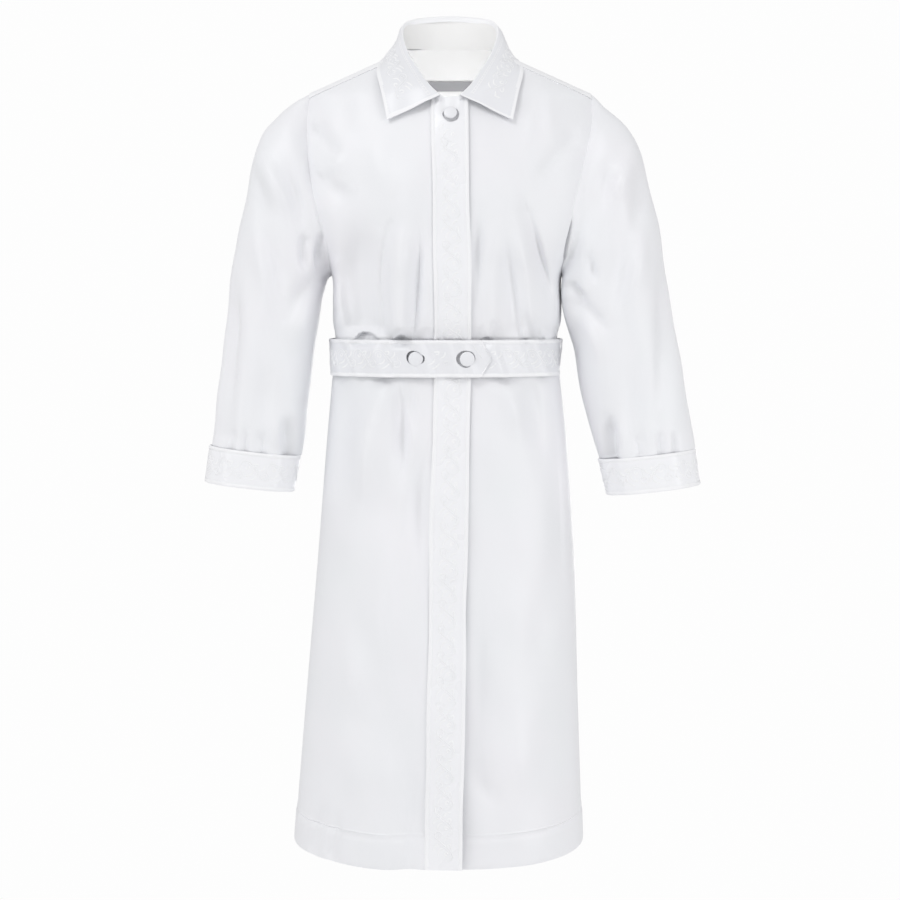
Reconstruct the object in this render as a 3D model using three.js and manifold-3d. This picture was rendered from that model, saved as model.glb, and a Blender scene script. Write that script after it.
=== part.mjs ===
// A kittel: a white, belted, knee-length robe, worn hollow as on an upright figure.
// Millimetres, +Z up, the front faces -Y. The origin is the middle of the neck base, at the
// height of the shoulders, where the wearer holds the garment up.
import * as THREE from 'three';
import { mergeVertices } from 'three/addons/utils/BufferGeometryUtils.js';
import Module from 'manifold-3d';

const wasm = await Module();
wasm.setup();

// ---- driving sizes -------------------------------------------------------------------------
const WALL = 2.0;            // thickness of a cloth panel
const SEAM = 0.3;            // gap between two pieces at a seam
const LAY = 0.8;             // gap under a piece that lies on another
const BAND = 53;             // width of the embroidered bands: placket, belt and cuffs
const BAND_WALL = 1.8;       // thickness of the placket band
const NECK_HALF = 68;        // half the width of the neck seam
const NECK_TOP = 16;         // height of the neck seam at the shoulder
const NECK_DROP = 82;        // how far the neck seam drops in front
const NECK_RISE = 7;         // how far it rises at the back
const SHOULDER_SLOPE = 0.453;      // fall of the shoulder for each mm outward
const SEAM_FORWARD = 9;      // the shoulder seam lies this far below the ridge, in front
const UNDERARM = -310;       // height of the bottom of the armholes
const SHOULDER_POINT = { left: -205, right: 206 };
const HEM = { side: -1144, front: -1160, back: -1150 };

// Body sections: half widths are signed x, front and back are depths from the side seam plane,
// power rounds the section. Above the underarm the armholes cut off the outer part.
const BODY = [
  { z: -1170, left: -233, right: 198, front: 166, back: 152, power: 2.0 },
  { z: -940, left: -214, right: 190, front: 152, back: 138, power: 2.05 },
  { z: -733, left: -196, right: 184, front: 138, back: 126, power: 2.1 },
  { z: -560, left: -182, right: 172, front: 124, back: 114, power: 2.15 },
  { z: -470, left: -174, right: 163, front: 114, back: 104, power: 2.2 },
  { z: -431, left: -170, right: 159, front: 110, back: 99, power: 2.2 },
  { z: -400, left: -169, right: 158, front: 110, back: 99, power: 2.2 },
  { z: -380, left: -172, right: 165, front: 118, back: 104, power: 2.2 },
  { z: -354, left: -172, right: 168, front: 121, back: 106, power: 2.2 },
  { z: -310, left: -174, right: 169, front: 123, back: 109, power: 2.2 },
  { z: -252, left: -200, right: 194, front: 122, back: 112, power: 2.2 },
  { z: -197, left: -221, right: 212, front: 118, back: 112, power: 2.2 },
  { z: -147, left: -227, right: 222, front: 110, back: 108, power: 2.2 },
  { z: -95, left: -222, right: 222, front: 96, back: 100, power: 2.15 },
  { z: -66, left: -213, right: 214, front: 83, back: 93, power: 2.1 },
  { z: -46, left: -205, right: 206, front: 73, back: 87, power: 2.05 },
  { z: -15, left: -136, right: 137, front: 55, back: 76, power: 2.0 },
  { z: 16, left: -68, right: 68, front: 34, back: 64, power: 2.0 },
  { z: 40, left: -40, right: 40, front: 24, back: 56, power: 2.0 },
];

// Where the armholes cut the panels, from the underarm up; x is signed.
const ARMHOLE = [
  { z: -310, left: -174, right: 169 },
  { z: -280, left: -176, right: 171 },
  { z: -252, left: -180, right: 174 },
  { z: -197, left: -197, right: 182 },
  { z: -147, left: -205, right: 194 },
  { z: -95, left: -208, right: 205 },
  { z: -46, left: -205, right: 206 },
];

// Free edge of the wearer's right front, and so of the placket, from hem to neck.
const FREE_EDGE = [
  { z: -1170, x: 17 }, { z: -950, x: 20 }, { z: -733, x: 24 },
  { z: -431, x: 30 }, { z: -250, x: 28 }, { z: -60, x: 26 },
];
const UNDERLAP = 47;         // how far the under front reaches behind the free edge

// The largest folds of the fronts, as soft ridges (depth over 0) and troughs.
const FRONT_FOLDS = [
  { name: 'skirt ridge', x0: -84, z0: -470, x1: -122, z1: -650, width: 30, depth: 9 },
  { name: 'skirt valley', x0: -60, z0: -470, x1: -66, z1: -640, width: 18, depth: -6 },
  { name: 'right skirt fold', x0: 84, z0: -470, x1: 116, z1: -620, width: 26, depth: 5 },
  { name: 'hem wave left', x0: -120, z0: -1165, x1: -105, z1: -900, width: 38, depth: 5 },
  { name: 'hem wave right', x0: 105, z0: -1165, x1: 90, z1: -880, width: 42, depth: 5 },
  { name: 'left waist trough', x0: -92, z0: -225, x1: -112, z1: -390, width: 20, depth: -6 },
  { name: 'left bodice ridge', x0: -78, z0: -235, x1: -76, z1: -385, width: 18, depth: 6 },
  { name: 'left inner trough', x0: -50, z0: -240, x1: -54, z1: -385, width: 15, depth: -5 },
  { name: 'right bodice trough', x0: 46, z0: -225, x1: 38, z1: -340, width: 17, depth: -4 },
  { name: 'right drag fold', x0: 120, z0: -230, x1: 146, z1: -345, width: 17, depth: -6 },
  { name: 'left armhole drag', x0: -190, z0: -110, x1: -160, z1: -190, width: 22, depth: -4 },
];
const BACK_FOLDS = [
  { name: 'left back skirt', x0: -70, z0: -470, x1: -96, z1: -900, width: 34, depth: 8 },
  { name: 'right back skirt', x0: 62, z0: -470, x1: 88, z1: -860, width: 36, depth: 8 },
  { name: 'middle back skirt', x0: -4, z0: -470, x1: 6, z1: -760, width: 26, depth: -6 },
  { name: 'left back blouse', x0: -60, z0: -385, x1: -44, z1: -250, width: 24, depth: 6 },
  { name: 'right back blouse', x0: 66, z0: -385, x1: 52, z1: -240, width: 24, depth: 6 },
];

// Sleeve rings from armhole to cuff: the outer and inner points in x and z (x away from the
// body), the middle in y and the half depth.
const SLEEVES = {
  right: {                   // the wearer's right arm, at -X
    side: 'left', sign: -1,
    rings: [
      { outX: 243, outZ: -72, inX: 178.5, inZ: -318, y: -1, depth: 72 },
      { outX: 274, outZ: -107, inX: 182, inZ: -330, y: -3, depth: 75 },
      { outX: 293, outZ: -162, inX: 186, inZ: -345, y: -6, depth: 75 },
      { outX: 308, outZ: -238, inX: 191, inZ: -370, y: -9, depth: 72 },
      { outX: 323, outZ: -332, inX: 198, inZ: -412, y: -14, depth: 67 },
      { outX: 335, outZ: -430, inX: 206, inZ: -478, y: -21, depth: 61 },
      { outX: 346, outZ: -520, inX: 214, inZ: -546, y: -28, depth: 56 },
      { outX: 350.5, outZ: -559, inX: 219, inZ: -574, y: -31, depth: 54 },
    ],
    cuff: [
      { outX: 351.5, outZ: -559.5, inX: 218.5, inZ: -574.5, y: -31, depth: 55 },
      { outX: 358.5, outZ: -613, inX: 228.5, inZ: -627, y: -36, depth: 53 },
    ],
  },
  left: {                    // the wearer's left arm, at +X
    side: 'right', sign: 1,
    rings: [
      { outX: 242, outZ: -75, inX: 174, inZ: -318, y: -1, depth: 72 },
      { outX: 269, outZ: -109, inX: 175, inZ: -332, y: -3, depth: 76 },
      { outX: 290, outZ: -165, inX: 175.5, inZ: -350, y: -6, depth: 76 },
      { outX: 307, outZ: -240, inX: 176, inZ: -382, y: -9, depth: 74 },
      { outX: 323, outZ: -334, inX: 180, inZ: -424, y: -14, depth: 71 },
      { outX: 338, outZ: -434, inX: 191, inZ: -484, y: -21, depth: 66 },
      { outX: 352, outZ: -525, inX: 210, inZ: -551, y: -28, depth: 60 },
      { outX: 357.5, outZ: -564, inX: 217.5, inZ: -579, y: -31, depth: 57 },
    ],
    cuff: [
      { outX: 358.5, outZ: -564.5, inX: 217, inZ: -579.5, y: -31, depth: 58 },
      { outX: 366, outZ: -617, inX: 229.5, inZ: -632, y: -36, depth: 56 },
    ],
  },
};

// Collar stations from the front end round to the back, as x, y, z of the roll (the fold) and
// of the leaf's outer edge; bulge lifts the leaf between them.
const COLLAR = [
  { angle: 14, rollX: 14, rollY: -92, rollZ: -56, edgeX: 90, edgeY: -101, edgeZ: -90, bulge: 2 },
  { angle: 27, rollX: 30, rollY: -81, rollZ: -40, edgeX: 98, edgeY: -84, edgeZ: -52, bulge: 5 },
  { angle: 42, rollX: 46, rollY: -59, rollZ: -16, edgeX: 107, edgeY: -54, edgeZ: -17, bulge: 7 },
  { angle: 64, rollX: 60, rollY: -31, rollZ: 8, edgeX: 111, edgeY: -20, edgeZ: 4, bulge: 8 },
  { angle: 90, rollX: 69, rollY: 0, rollZ: 33, edgeX: 107, edgeY: 14, edgeZ: 7, bulge: 8 },
  { angle: 118, rollX: 70, rollY: 28, rollZ: 53, edgeX: 96, edgeY: 46, edgeZ: 4, bulge: 7 },
  { angle: 142, rollX: 58, rollY: 48, rollZ: 64, edgeX: 72, edgeY: 70, edgeZ: 1, bulge: 6 },
  { angle: 162, rollX: 31, rollY: 59, rollZ: 69, edgeX: 37, edgeY: 83, edgeZ: -1, bulge: 6 },
  { angle: 180, rollX: 0, rollY: 62, rollZ: 71, edgeX: 0, edgeY: 87, edgeZ: -2, bulge: 6 },
];

const BELT = { top: -404.5, middle: -431, bottom: -457.5, pointX: 57, cornerX: 44, underX: -76 };
const BUTTONS = [
  { name: 'button_neck', x: 0.6, z: -83, radius: 9.6, height: 8.2, hole: 12 },
  { name: 'button_belt_a', x: -48, z: -432, radius: 10.8, height: 6.4, hole: 13.4 },
  { name: 'button_belt_b', x: 24, z: -432, radius: 10.8, height: 6.4, hole: 13.4 },
];
const LABEL = { half: 42, top: -22, bottom: -36, wall: 1.0, gap: 3.4 };

// ---- materials -----------------------------------------------------------------------------
const cloth = { color: 0xf1f2f6, roughness: 0.62 };
const band = { color: 0xf4f5f9, roughness: 0.5 };
const grey = { color: 0xb0afb3, roughness: 0.6 };

// ---- helpers -------------------------------------------------------------------------------
const lerp = THREE.MathUtils.lerp;
const clamp = THREE.MathUtils.clamp;
const radians = THREE.MathUtils.degToRad;
const V = (x, y, z) => new THREE.Vector3(x, y, z);

// A smooth curve through one column of a table, read at the key's value.
function column(table, name, at, key = 'z') {
  let i = 0;
  while (i < table.length - 2 && table[i + 1][key] < at) i += 1;
  const [a, b] = [table[i], table[i + 1]];
  const before = table[Math.max(i - 1, 0)];
  const after = table[Math.min(i + 2, table.length - 1)];
  const span = b[key] - a[key];
  const t = clamp((at - a[key]) / span, -0.2, 1.2);
  const slope = (p, q) => (q[key] === p[key] ? 0 : (q[name] - p[name]) / (q[key] - p[key]));
  const m0 = slope(before, b) * span;
  const m1 = slope(a, after) * span;
  const t2 = t * t;
  const t3 = t2 * t;
  return (2 * t3 - 3 * t2 + 1) * a[name] + (t3 - 2 * t2 + t) * m0
    + (3 * t2 - 2 * t3) * b[name] + (t3 - t2) * m1;
}

// A closed wall from a grid of outer points and the grid of inner points behind them. A grid
// that wraps joins its last column to its first; has(row, column) says which cells exist.
function wallGeometry(outer, inner, { wraps = false, has = () => true } = {}) {
  const rows = outer.length;
  const cols = outer[0].length;
  const at = (layer, r, c) => layer * rows * cols + r * cols + (c % cols);
  const cells = [];
  for (let r = 0; r < rows - 1; r += 1) {
    for (let c = 0; c < (wraps ? cols : cols - 1); c += 1) {
      if (has(r, c)) cells.push([[r, c], [r, c + 1], [r + 1, c + 1], [r + 1, c]]);
    }
  }
  const faces = [];
  const edges = new Map();
  for (const corners of cells) {
    const [a, b, c, d] = corners.map(([r, k]) => at(0, r, k));
    const [e, f, g, h] = corners.map(([r, k]) => at(1, r, k));
    faces.push(a, b, c, a, c, d, e, g, f, e, h, g);
    for (const [p, q] of [[a, b], [b, c], [c, d], [d, a]]) edges.set(`${p} ${q}`, [p, q]);
  }
  for (const [p, q] of edges.values()) {
    if (edges.has(`${q} ${p}`)) continue;
    const [pIn, qIn] = [p + rows * cols, q + rows * cols];
    faces.push(p, qIn, q, p, pIn, qIn);
  }
  return solid([...outer.flat(), ...inner.flat()], faces);
}

// An indexed geometry of the points that the faces use, with its faces turned out.
function solid(points, faces) {
  const used = [...new Set(faces)];
  const place = new Map(used.map((index, i) => [index, i]));
  const kept = used.map((index) => points[index]);
  const index = faces.map((i) => place.get(i));
  let volume = 0;
  for (let i = 0; i < index.length; i += 3) {
    const [a, b, c] = [kept[index[i]], kept[index[i + 1]], kept[index[i + 2]]];
    volume += a.dot(b.clone().cross(c));
  }
  if (volume < 0) index.reverse();
  const geometry = new THREE.BufferGeometry();
  geometry.setAttribute('position', new THREE.Float32BufferAttribute(
    kept.flatMap((p) => [p.x, p.y, p.z]), 3));
  geometry.setIndex(index);
  return geometry;
}

function part(name, geometry, finish) {
  const mesh = new THREE.Mesh(geometry, new THREE.MeshStandardMaterial({ metalness: 0, ...finish }));
  mesh.name = name;
  return mesh;
}

function toManifold(geometry) {
  const bare = geometry.clone();
  bare.deleteAttribute('normal');
  bare.deleteAttribute('uv');
  const merged = mergeVertices(bare, 1e-3);
  return new wasm.Manifold(new wasm.Mesh({
    numProp: 3,
    vertProperties: new Float32Array(merged.attributes.position.array),
    triVerts: new Uint32Array(merged.index.array),
  }));
}

// Cuts an open buttonhole through all of a wall that lies further out than the given lift.
function withHole(geometry, button, lift = -40) {
  const reach = 80;
  const tool = new THREE.CylinderGeometry(button.hole, button.hole, reach, 14);
  const normal = clothNormal('front', button.x, button.z);
  const middle = clothPoint('front', button.x, button.z).addScaledVector(normal, lift + reach / 2);
  tool.applyQuaternion(new THREE.Quaternion().setFromUnitVectors(V(0, 1, 0), normal));
  tool.translate(middle.x, middle.y, middle.z);
  const mesh = toManifold(geometry).subtract(toManifold(tool)).getMesh();
  const cut = new THREE.BufferGeometry();
  cut.setAttribute('position', new THREE.BufferAttribute(new Float32Array(mesh.vertProperties), 3));
  cut.setIndex(Array.from(mesh.triVerts));
  return cut;
}

// ---- the body's form -----------------------------------------------------------------------
const ridgeZ = (x) => NECK_TOP - (Math.abs(x) - NECK_HALF) * SHOULDER_SLOPE;
const shoulderEnd = (side) => ridgeZ(SHOULDER_POINT[side]);

function edgeX(side, z) {                  // outermost x of the body's section
  const sign = side === 'left' ? -1 : 1;
  if (z > shoulderEnd(side)) return sign * (NECK_HALF + (NECK_TOP - z) / SHOULDER_SLOPE);
  return column(BODY, side, z);
}
function middleX(z) {
  return (edgeX('left', z) + edgeX('right', z)) / 2;
}

function bodyDepth(face, x, z) {
  const side = x < middleX(z) ? 'left' : 'right';
  const u = clamp((x - middleX(z)) / (edgeX(side, z) - middleX(z)), 0, 1);
  const power = column(BODY, 'power', z);
  return column(BODY, face, z) * (1 - u ** power) ** (1 / power);
}

// How far the folds stand out at a point: each has soft ends and soft sides.
function foldAt(folds, x, z) {
  let sum = 0;
  for (const fold of folds) {
    const [dx, dz] = [fold.x1 - fold.x0, fold.z1 - fold.z0];
    const length = Math.hypot(dx, dz);
    const along = ((x - fold.x0) * dx + (z - fold.z0) * dz) / length;
    const across = ((x - fold.x0) * dz - (z - fold.z0) * dx) / length;
    const past = Math.max(-along, along - length, 0);
    const ends = Math.exp(-((past / (fold.width * 1.4)) ** 2));
    sum += fold.depth * ends * Math.exp(-((across / fold.width) ** 2));
  }
  return sum;
}

// The belt holds the cloth smooth: folds fade out over this reach above and below it.
const BELT_HOLD = 26;
function freeOfBelt(z) {
  const past = Math.max(BELT.bottom - z, z - BELT.top, 0);
  return THREE.MathUtils.smoothstep(past, 0, BELT_HOLD);
}

// A point of the cloth, on the front (face 'front') or the back, at x and z.
function clothPoint(face, x, z) {
  const depth = bodyDepth(face, x, z);
  const folds = face === 'front' ? FRONT_FOLDS : BACK_FOLDS;
  const fade = clamp(depth / 60, 0, 1) * freeOfBelt(z);
  const out = depth + fade * foldAt(folds, x, z);
  return V(x, face === 'front' ? -out : out, z);
}

// The outward normal there, read a little inside the outline, where the slope is finite.
function clothNormal(face, x, z) {
  const inside = 0.985;
  const xi = middleX(z) + (x - middleX(z)) * inside;
  const zi = z > shoulderEnd('left') - 20 ? z - 1.5 : z;
  const step = 2;
  const dx = clothPoint(face, xi + step, zi).sub(clothPoint(face, xi - step, zi));
  const dz = clothPoint(face, xi, zi + step).sub(clothPoint(face, xi, zi - step));
  const normal = dx.cross(dz).normalize();
  return normal.multiplyScalar(face === 'front' ? 1 : -1);
}

// The neck seam at an angle: 0 in front, 90 over the shoulder, 180 at the back.
function neckXZ(angle) {
  const c = Math.cos(radians(angle));
  const z = c > 0 ? NECK_TOP - NECK_DROP * c ** 1.6 : NECK_TOP + NECK_RISE * Math.abs(c) ** 1.2;
  return { x: NECK_HALF * Math.sin(radians(angle)), z };
}
function neckPoint(angle) {
  const { x, z } = neckXZ(angle);
  return clothPoint(Math.abs(angle) < 90 ? 'front' : 'back', x, z);
}

// ---- front and back panels -----------------------------------------------------------------
const ROW_LEVELS = [         // heights of the rows below the underarm, at the side seam
  -1144, -1090, -1020, -940, -860, -780, -700, -625, -560, -505,
  BELT.bottom, BELT.middle, BELT.top, -385, -350,
];
const ARM_ROWS = 9;          // rows from the underarm to the shoulder
const SEAM_ANGLE = 76;       // where the shoulder seam meets the neck seam
const LAP_COLS = 2;          // cells across the lap of the two fronts
const NECK_COLS = 4;         // cells that end on the neck seam
const SHOULDER_COLS = 5;     // cells that end on the shoulder seam

// Rows from the underarm up, closer together where the armhole turns.
const armLevels = (topZ) => Array.from({ length: ARM_ROWS }, (_, i) => (
  lerp(UNDERARM, topZ, (i / ARM_ROWS) ** 1.35)));

const freeEdge = (z) => column(FREE_EDGE, 'x', z);
const neckAngleAt = (x) => THREE.MathUtils.radToDeg(Math.asin(x / NECK_HALF));

// The top edge of a front panel: x and z of each column, from the free edge to the armhole.
function frontTop(side) {
  const sign = side === 'left' ? -1 : 1;
  const lap = lapColumns(side, -60).map((x) => ({ x, z: neckXZ(neckAngleAt(x)).z }));
  const start = Math.abs(neckAngleAt(lap.at(-1).x));
  const neck = Array.from({ length: NECK_COLS }, (_, i) => (
    neckXZ(sign * lerp(start, SEAM_ANGLE, (i + 1) / NECK_COLS))));
  const end = SHOULDER_POINT[side];
  const from = neck.at(-1);
  const shoulder = Array.from({ length: SHOULDER_COLS }, (_, i) => {
    const x = lerp(from.x, end, (i + 1) / SHOULDER_COLS);
    return { x, z: lerp(from.z, ridgeZ(end) - SEAM_FORWARD, (i + 1) / SHOULDER_COLS) };
  });
  return [...lap, ...neck, ...shoulder];
}

// x of the columns in the lap, from the panel's own edge inward; both fronts share them.
function lapColumns(side, z) {
  const edges = [0, 1, 2].map((i) => freeEdge(z) - BAND * (i / LAP_COLS));
  return side === 'left' ? edges : edges.reverse();
}

// Rows of a front panel, as x and z of every column.
function frontGrid(side) {
  const top = frontTop(side);
  const beyond = NECK_COLS + SHOULDER_COLS;
  const levels = [...ROW_LEVELS, ...armLevels(top.at(-1).z)];
  const rows = levels.map((z) => {
    const rise = clamp((z - UNDERARM) / (top.at(-1).z - UNDERARM), 0, 1);
    const sideX = z > UNDERARM ? column(ARMHOLE, side, z) : edgeX(side, z);
    const drop = lerp(HEM.front - HEM.side, 0, clamp((z - HEM.side) / 600, 0, 1));
    const lap = lapColumns(side, z).map((x) => ({ x, z: z + drop }));
    const row = [...lap];
    for (let i = 1; i <= beyond; i += 1) {
      const k = Math.sin((Math.PI / 2) * (i / beyond));
      row.push({ x: lerp(lap.at(-1).x, sideX, k), z: z + drop * Math.sqrt(1 - k * k) });
    }
    return row.map((p, c) => ({
      x: lerp(p.x, top[c].x, c === row.length - 1 ? 0 : rise * rise),
      z: lerp(p.z, UNDERARM + (top[c].z - UNDERARM) * rise, rise > 0 ? 1 : 0),
    }));
  });
  return [...rows, top];
}

// The two faces of a panel: points on the cloth, lifted, and the same moved in by the wall.
function panelFaces(grid, face, lift) {
  const outer = [];
  const inner = [];
  grid.forEach((row, r) => {
    outer.push([]);
    inner.push([]);
    row.forEach(({ x, z, onSeam, faceAt = face }, c) => {
      const base = clothPoint(faceAt, x, z);
      const normal = clothNormal(faceAt, x, z);
      if (onSeam) normal.setY(0).normalize();
      const back = onSeam ? (face === 'front' ? -SEAM / 2 : SEAM / 2) : 0;
      base.y += back;
      outer[r].push(base.clone().addScaledVector(normal, lift(r, c)));
      inner[r].push(base.clone().addScaledVector(normal, lift(r, c) - WALL));
    });
  });
  return { outer, inner };
}

const LIFT = WALL + LAY;     // the upper front stands this far out where it laps

function withSideSeam(grid) {
  grid.forEach((row, r) => { row.at(-1).onSeam = r <= ROW_LEVELS.length; });
  return grid;
}

function frontRight() {
  const fall = [1, 1, 1, 0.75, 0.4, 0.15];
  const { outer, inner } = panelFaces(withSideSeam(frontGrid('left')), 'front', (r, c) => (
    LIFT * (fall[c] ?? 0)));
  return part('front_right', withHole(wallGeometry(outer, inner), BUTTONS[0]), cloth);
}

function frontLeft() {
  const { outer, inner } = panelFaces(withSideSeam(frontGrid('right')), 'front', () => 0);
  return part('front_left', wallGeometry(outer, inner), cloth);
}

function placketBand() {
  const grid = frontGrid('left').map((row) => row.slice(0, LAP_COLS + 1));
  const { outer } = panelFaces(grid, 'front', () => LIFT + LAY + BAND_WALL);
  const { outer: inner } = panelFaces(grid, 'front', () => LIFT + LAY);
  return part('placket', withHole(wallGeometry(outer, inner), BUTTONS[0]), band);
}

// The back from side to side. Its last rows pass over the ridge to the shoulder seam in front.
const BACK_NECK_COLS = 3;
const OVER_ROWS = 2;

function backHalf(side) {
  const sign = side === 'left' ? -1 : 1;
  const half = BACK_NECK_COLS + SHOULDER_COLS;
  const end = SHOULDER_POINT[side];
  const top = Array.from({ length: half + 1 }, (_, i) => {
    if (i <= BACK_NECK_COLS) return neckXZ(sign * lerp(180, 90, i / BACK_NECK_COLS));
    const x = lerp(sign * NECK_HALF, end, (i - BACK_NECK_COLS) / SHOULDER_COLS);
    return { x, z: ridgeZ(x) };
  });
  top[0].x = 0;
  const levels = [...ROW_LEVELS, ...armLevels(top.at(-1).z)];
  const rows = levels.map((z) => {
    const rise = clamp((z - UNDERARM) / (top.at(-1).z - UNDERARM), 0, 1);
    const sideX = z > UNDERARM ? column(ARMHOLE, side, z) : edgeX(side, z);
    const drop = lerp(HEM.back - HEM.side, 0, clamp((z - HEM.side) / 600, 0, 1));
    return top.map((last, i) => {
      const k = Math.sin((Math.PI / 2) * (i / half));
      const x = lerp(middleX(z), sideX, k);
      const zLow = z + drop * Math.sqrt(1 - k * k);
      return {
        x: i === half ? x : lerp(x, last.x, rise * rise),
        z: rise > 0 ? UNDERARM + (last.z - UNDERARM) * rise : zLow,
        onSeam: i === half && rise === 0,
      };
    });
  });
  rows.push(top);
  for (let k = 1; k <= OVER_ROWS; k += 1) {
    const t = k / OVER_ROWS;
    rows.push(top.map((last, i) => {
      if (i < BACK_NECK_COLS) return { ...last };
      const seam = neckXZ(sign * SEAM_ANGLE);
      const across = (i - BACK_NECK_COLS) / SHOULDER_COLS;
      const seamX = lerp(seam.x, end, across);
      const seamZ = lerp(seam.z, ridgeZ(end) - SEAM_FORWARD, across) + SEAM;
      return { x: lerp(last.x, seamX, t), z: lerp(last.z, seamZ, t), faceAt: 'front' };
    }));
  }
  return rows;
}

function backGrid() {
  const left = backHalf('left');
  const right = backHalf('right');
  return left.map((row, r) => [...row.slice(1).reverse(), ...right[r]]);
}

// A quarter of the back, on one side of the middle seam and above ('bodice') or below ('skirt')
// the waist seam, which lies under the belt.
function backPanel(name, side, half) {
  const sign = side === 'left' ? -1 : 1;
  const waist = ROW_LEVELS.indexOf(BELT.middle);
  const whole = backHalf(side);
  whole.forEach((row) => { row[0].x += sign * (SEAM / 2); });
  const grid = half === 'skirt' ? whole.slice(0, waist + 1) : whole.slice(waist);
  const seam = half === 'skirt' ? grid.at(-1) : grid[0];
  seam.forEach((p) => { p.z += half === 'skirt' ? -SEAM / 2 : SEAM / 2; });
  const { outer, inner } = panelFaces(grid, 'back', () => 0);
  const neckRows = half === 'skirt' ? 0 : OVER_ROWS;
  const has = (r, c) => r < grid.length - 1 - neckRows || c >= BACK_NECK_COLS;
  return part(name, wallGeometry(outer, inner, { has }), cloth);
}

// ---- sleeves and cuffs ---------------------------------------------------------------------
const ARM_GAP = 0.6;         // gap between the armhole's edge and the sleeve head
const SLEEVE_ROWS = 14;
const CUFF_COLS = 22;
const CUFF_WALL = 2.2;

// The armhole's edge as a loop of points, from the ridge down the front and up the back.
function armholeLoop(side) {
  const first = ROW_LEVELS.length;
  const front = panelFaces(withSideSeam(frontGrid(side)), 'front', () => 0).outer
    .slice(first).map((row) => row.at(-1));
  const rows = panelFaces(backGrid(), 'back', () => 0).outer.slice(first);
  const behind = rows.map((row) => (side === 'left' ? row[0] : row.at(-1)));
  const ridge = behind.length - 1 - OVER_ROWS;
  return [behind[ridge], behind[ridge + 1], ...front.reverse(), ...behind.slice(1, ridge)];
}

// The angle of each loop point as seen along the sleeve: 0 at the top, 90 in front.
function loopAngles(loop) {
  const top = loop[0].z;
  const bottom = Math.min(...loop.map((p) => p.z));
  return loop.map((p) => {
    const angle = Math.acos(clamp(1 - (2 * (top - p.z)) / (top - bottom), -1, 1));
    return p.y <= 0 ? angle : 2 * Math.PI - angle;
  });
}

// A point of a sleeve ring: its outer end is at angle 0, its front at 90 degrees.
function ringPoint(ring, sign, angle) {
  const c = Math.cos(angle);
  const x = (ring.outX + ring.inX) / 2 + c * (ring.outX - ring.inX) / 2;
  const z = (ring.outZ + ring.inZ) / 2 + c * (ring.outZ - ring.inZ) / 2;
  return V(sign * x, ring.y - ring.depth * Math.sin(angle), z);
}

function sleeve(name, { side, sign, rings }) {
  const loop = armholeLoop(side).map((p) => p.setX(p.x + sign * ARM_GAP));
  const angles = loopAngles(loop);
  const lines = loop.map((p, i) => new THREE.CatmullRomCurve3(
    [p, ...rings.map((ring) => ringPoint(ring, sign, angles[i]))]));
  const outer = Array.from({ length: SLEEVE_ROWS + 1 }, (_, r) => (
    lines.map((line) => line.getPoint(r / SLEEVE_ROWS))));
  const normals = gridNormals(outer, sign, true);
  const centre = loop.reduce((sum, p) => sum.add(p), V(0, 0, 0)).divideScalar(loop.length);
  loop.forEach((p, i) => normals[0][i].copy(p).sub(centre).setX(0).normalize());
  return part(name, wallGeometry(outer, moved(outer, normals, -WALL), { wraps: true }), cloth);
}

function cuff(name, { sign, cuff: [top, end] }) {
  const rows = 2;
  const outer = Array.from({ length: rows + 1 }, (_, r) => (
    Array.from({ length: CUFF_COLS }, (__, c) => {
      const angle = (2 * Math.PI * c) / CUFF_COLS;
      return ringPoint(top, sign, angle).lerp(ringPoint(end, sign, angle), r / rows);
    })));
  const normals = gridNormals(outer, sign, true);
  return part(name, wallGeometry(outer, moved(outer, normals, -CUFF_WALL), { wraps: true }), band);
}

// Normals of a grid, by differences; sense 1 or -1 turns them to the outside.
function gridNormals(grid, sense, wraps = false) {
  const last = { row: grid.length - 1, col: grid[0].length - 1 };
  const wrapped = (c) => (c + last.col + 1) % (last.col + 1);
  const at = (r, c) => grid[clamp(r, 0, last.row)][wraps ? wrapped(c) : clamp(c, 0, last.col)];
  return grid.map((row, r) => row.map((_, c) => {
    const along = at(r, c + 1).clone().sub(at(r, c - 1));
    const down = at(r + 1, c).clone().sub(at(r - 1, c));
    return along.cross(down).normalize().multiplyScalar(sense);
  }));
}

function moved(grid, normals, by) {
  return grid.map((row, r) => row.map((p, c) => p.clone().addScaledVector(normals[r][c], by)));
}

// ---- collar --------------------------------------------------------------------------------
const COLLAR_STEPS = 2;      // columns for each station of the collar
const STAND_WALL = 2.0;
const LEAF_WALL = 2.0;
const STAND_GAP = 1.1;       // how far the stand's foot is above the neck seam
const STAND_SHARE = 0.84;    // how far up to the roll the stand reaches

// Stations from one front end round the back to the other: s runs from 0 to 8 on each half.
function collarStations(from) {
  const back = COLLAR.length - 1;
  const table = COLLAR.map((row, s) => ({ ...row, s }));
  const half = Array.from({ length: (back - from) * COLLAR_STEPS + 1 }, (_, i) => {
    const s = from + i / COLLAR_STEPS;
    const read = (name) => column(table, name, s, 's');
    return {
      roll: V(read('rollX'), read('rollY'), read('rollZ')),
      edge: V(read('edgeX'), read('edgeY'), read('edgeZ')),
      angle: clamp(read('angle'), 0, 180), bulge: read('bulge'),
    };
  });
  Object.assign(half.at(-1).roll, { x: 0 });
  Object.assign(half.at(-1).edge, { x: 0 });
  const mirror = ({ roll, edge, angle, bulge }) => ({
    roll: V(-roll.x, roll.y, roll.z), edge: V(-edge.x, edge.y, edge.z), angle: -angle, bulge,
  });
  return [...half.slice(0, -1).map(mirror), ...half.reverse()];
}

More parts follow.
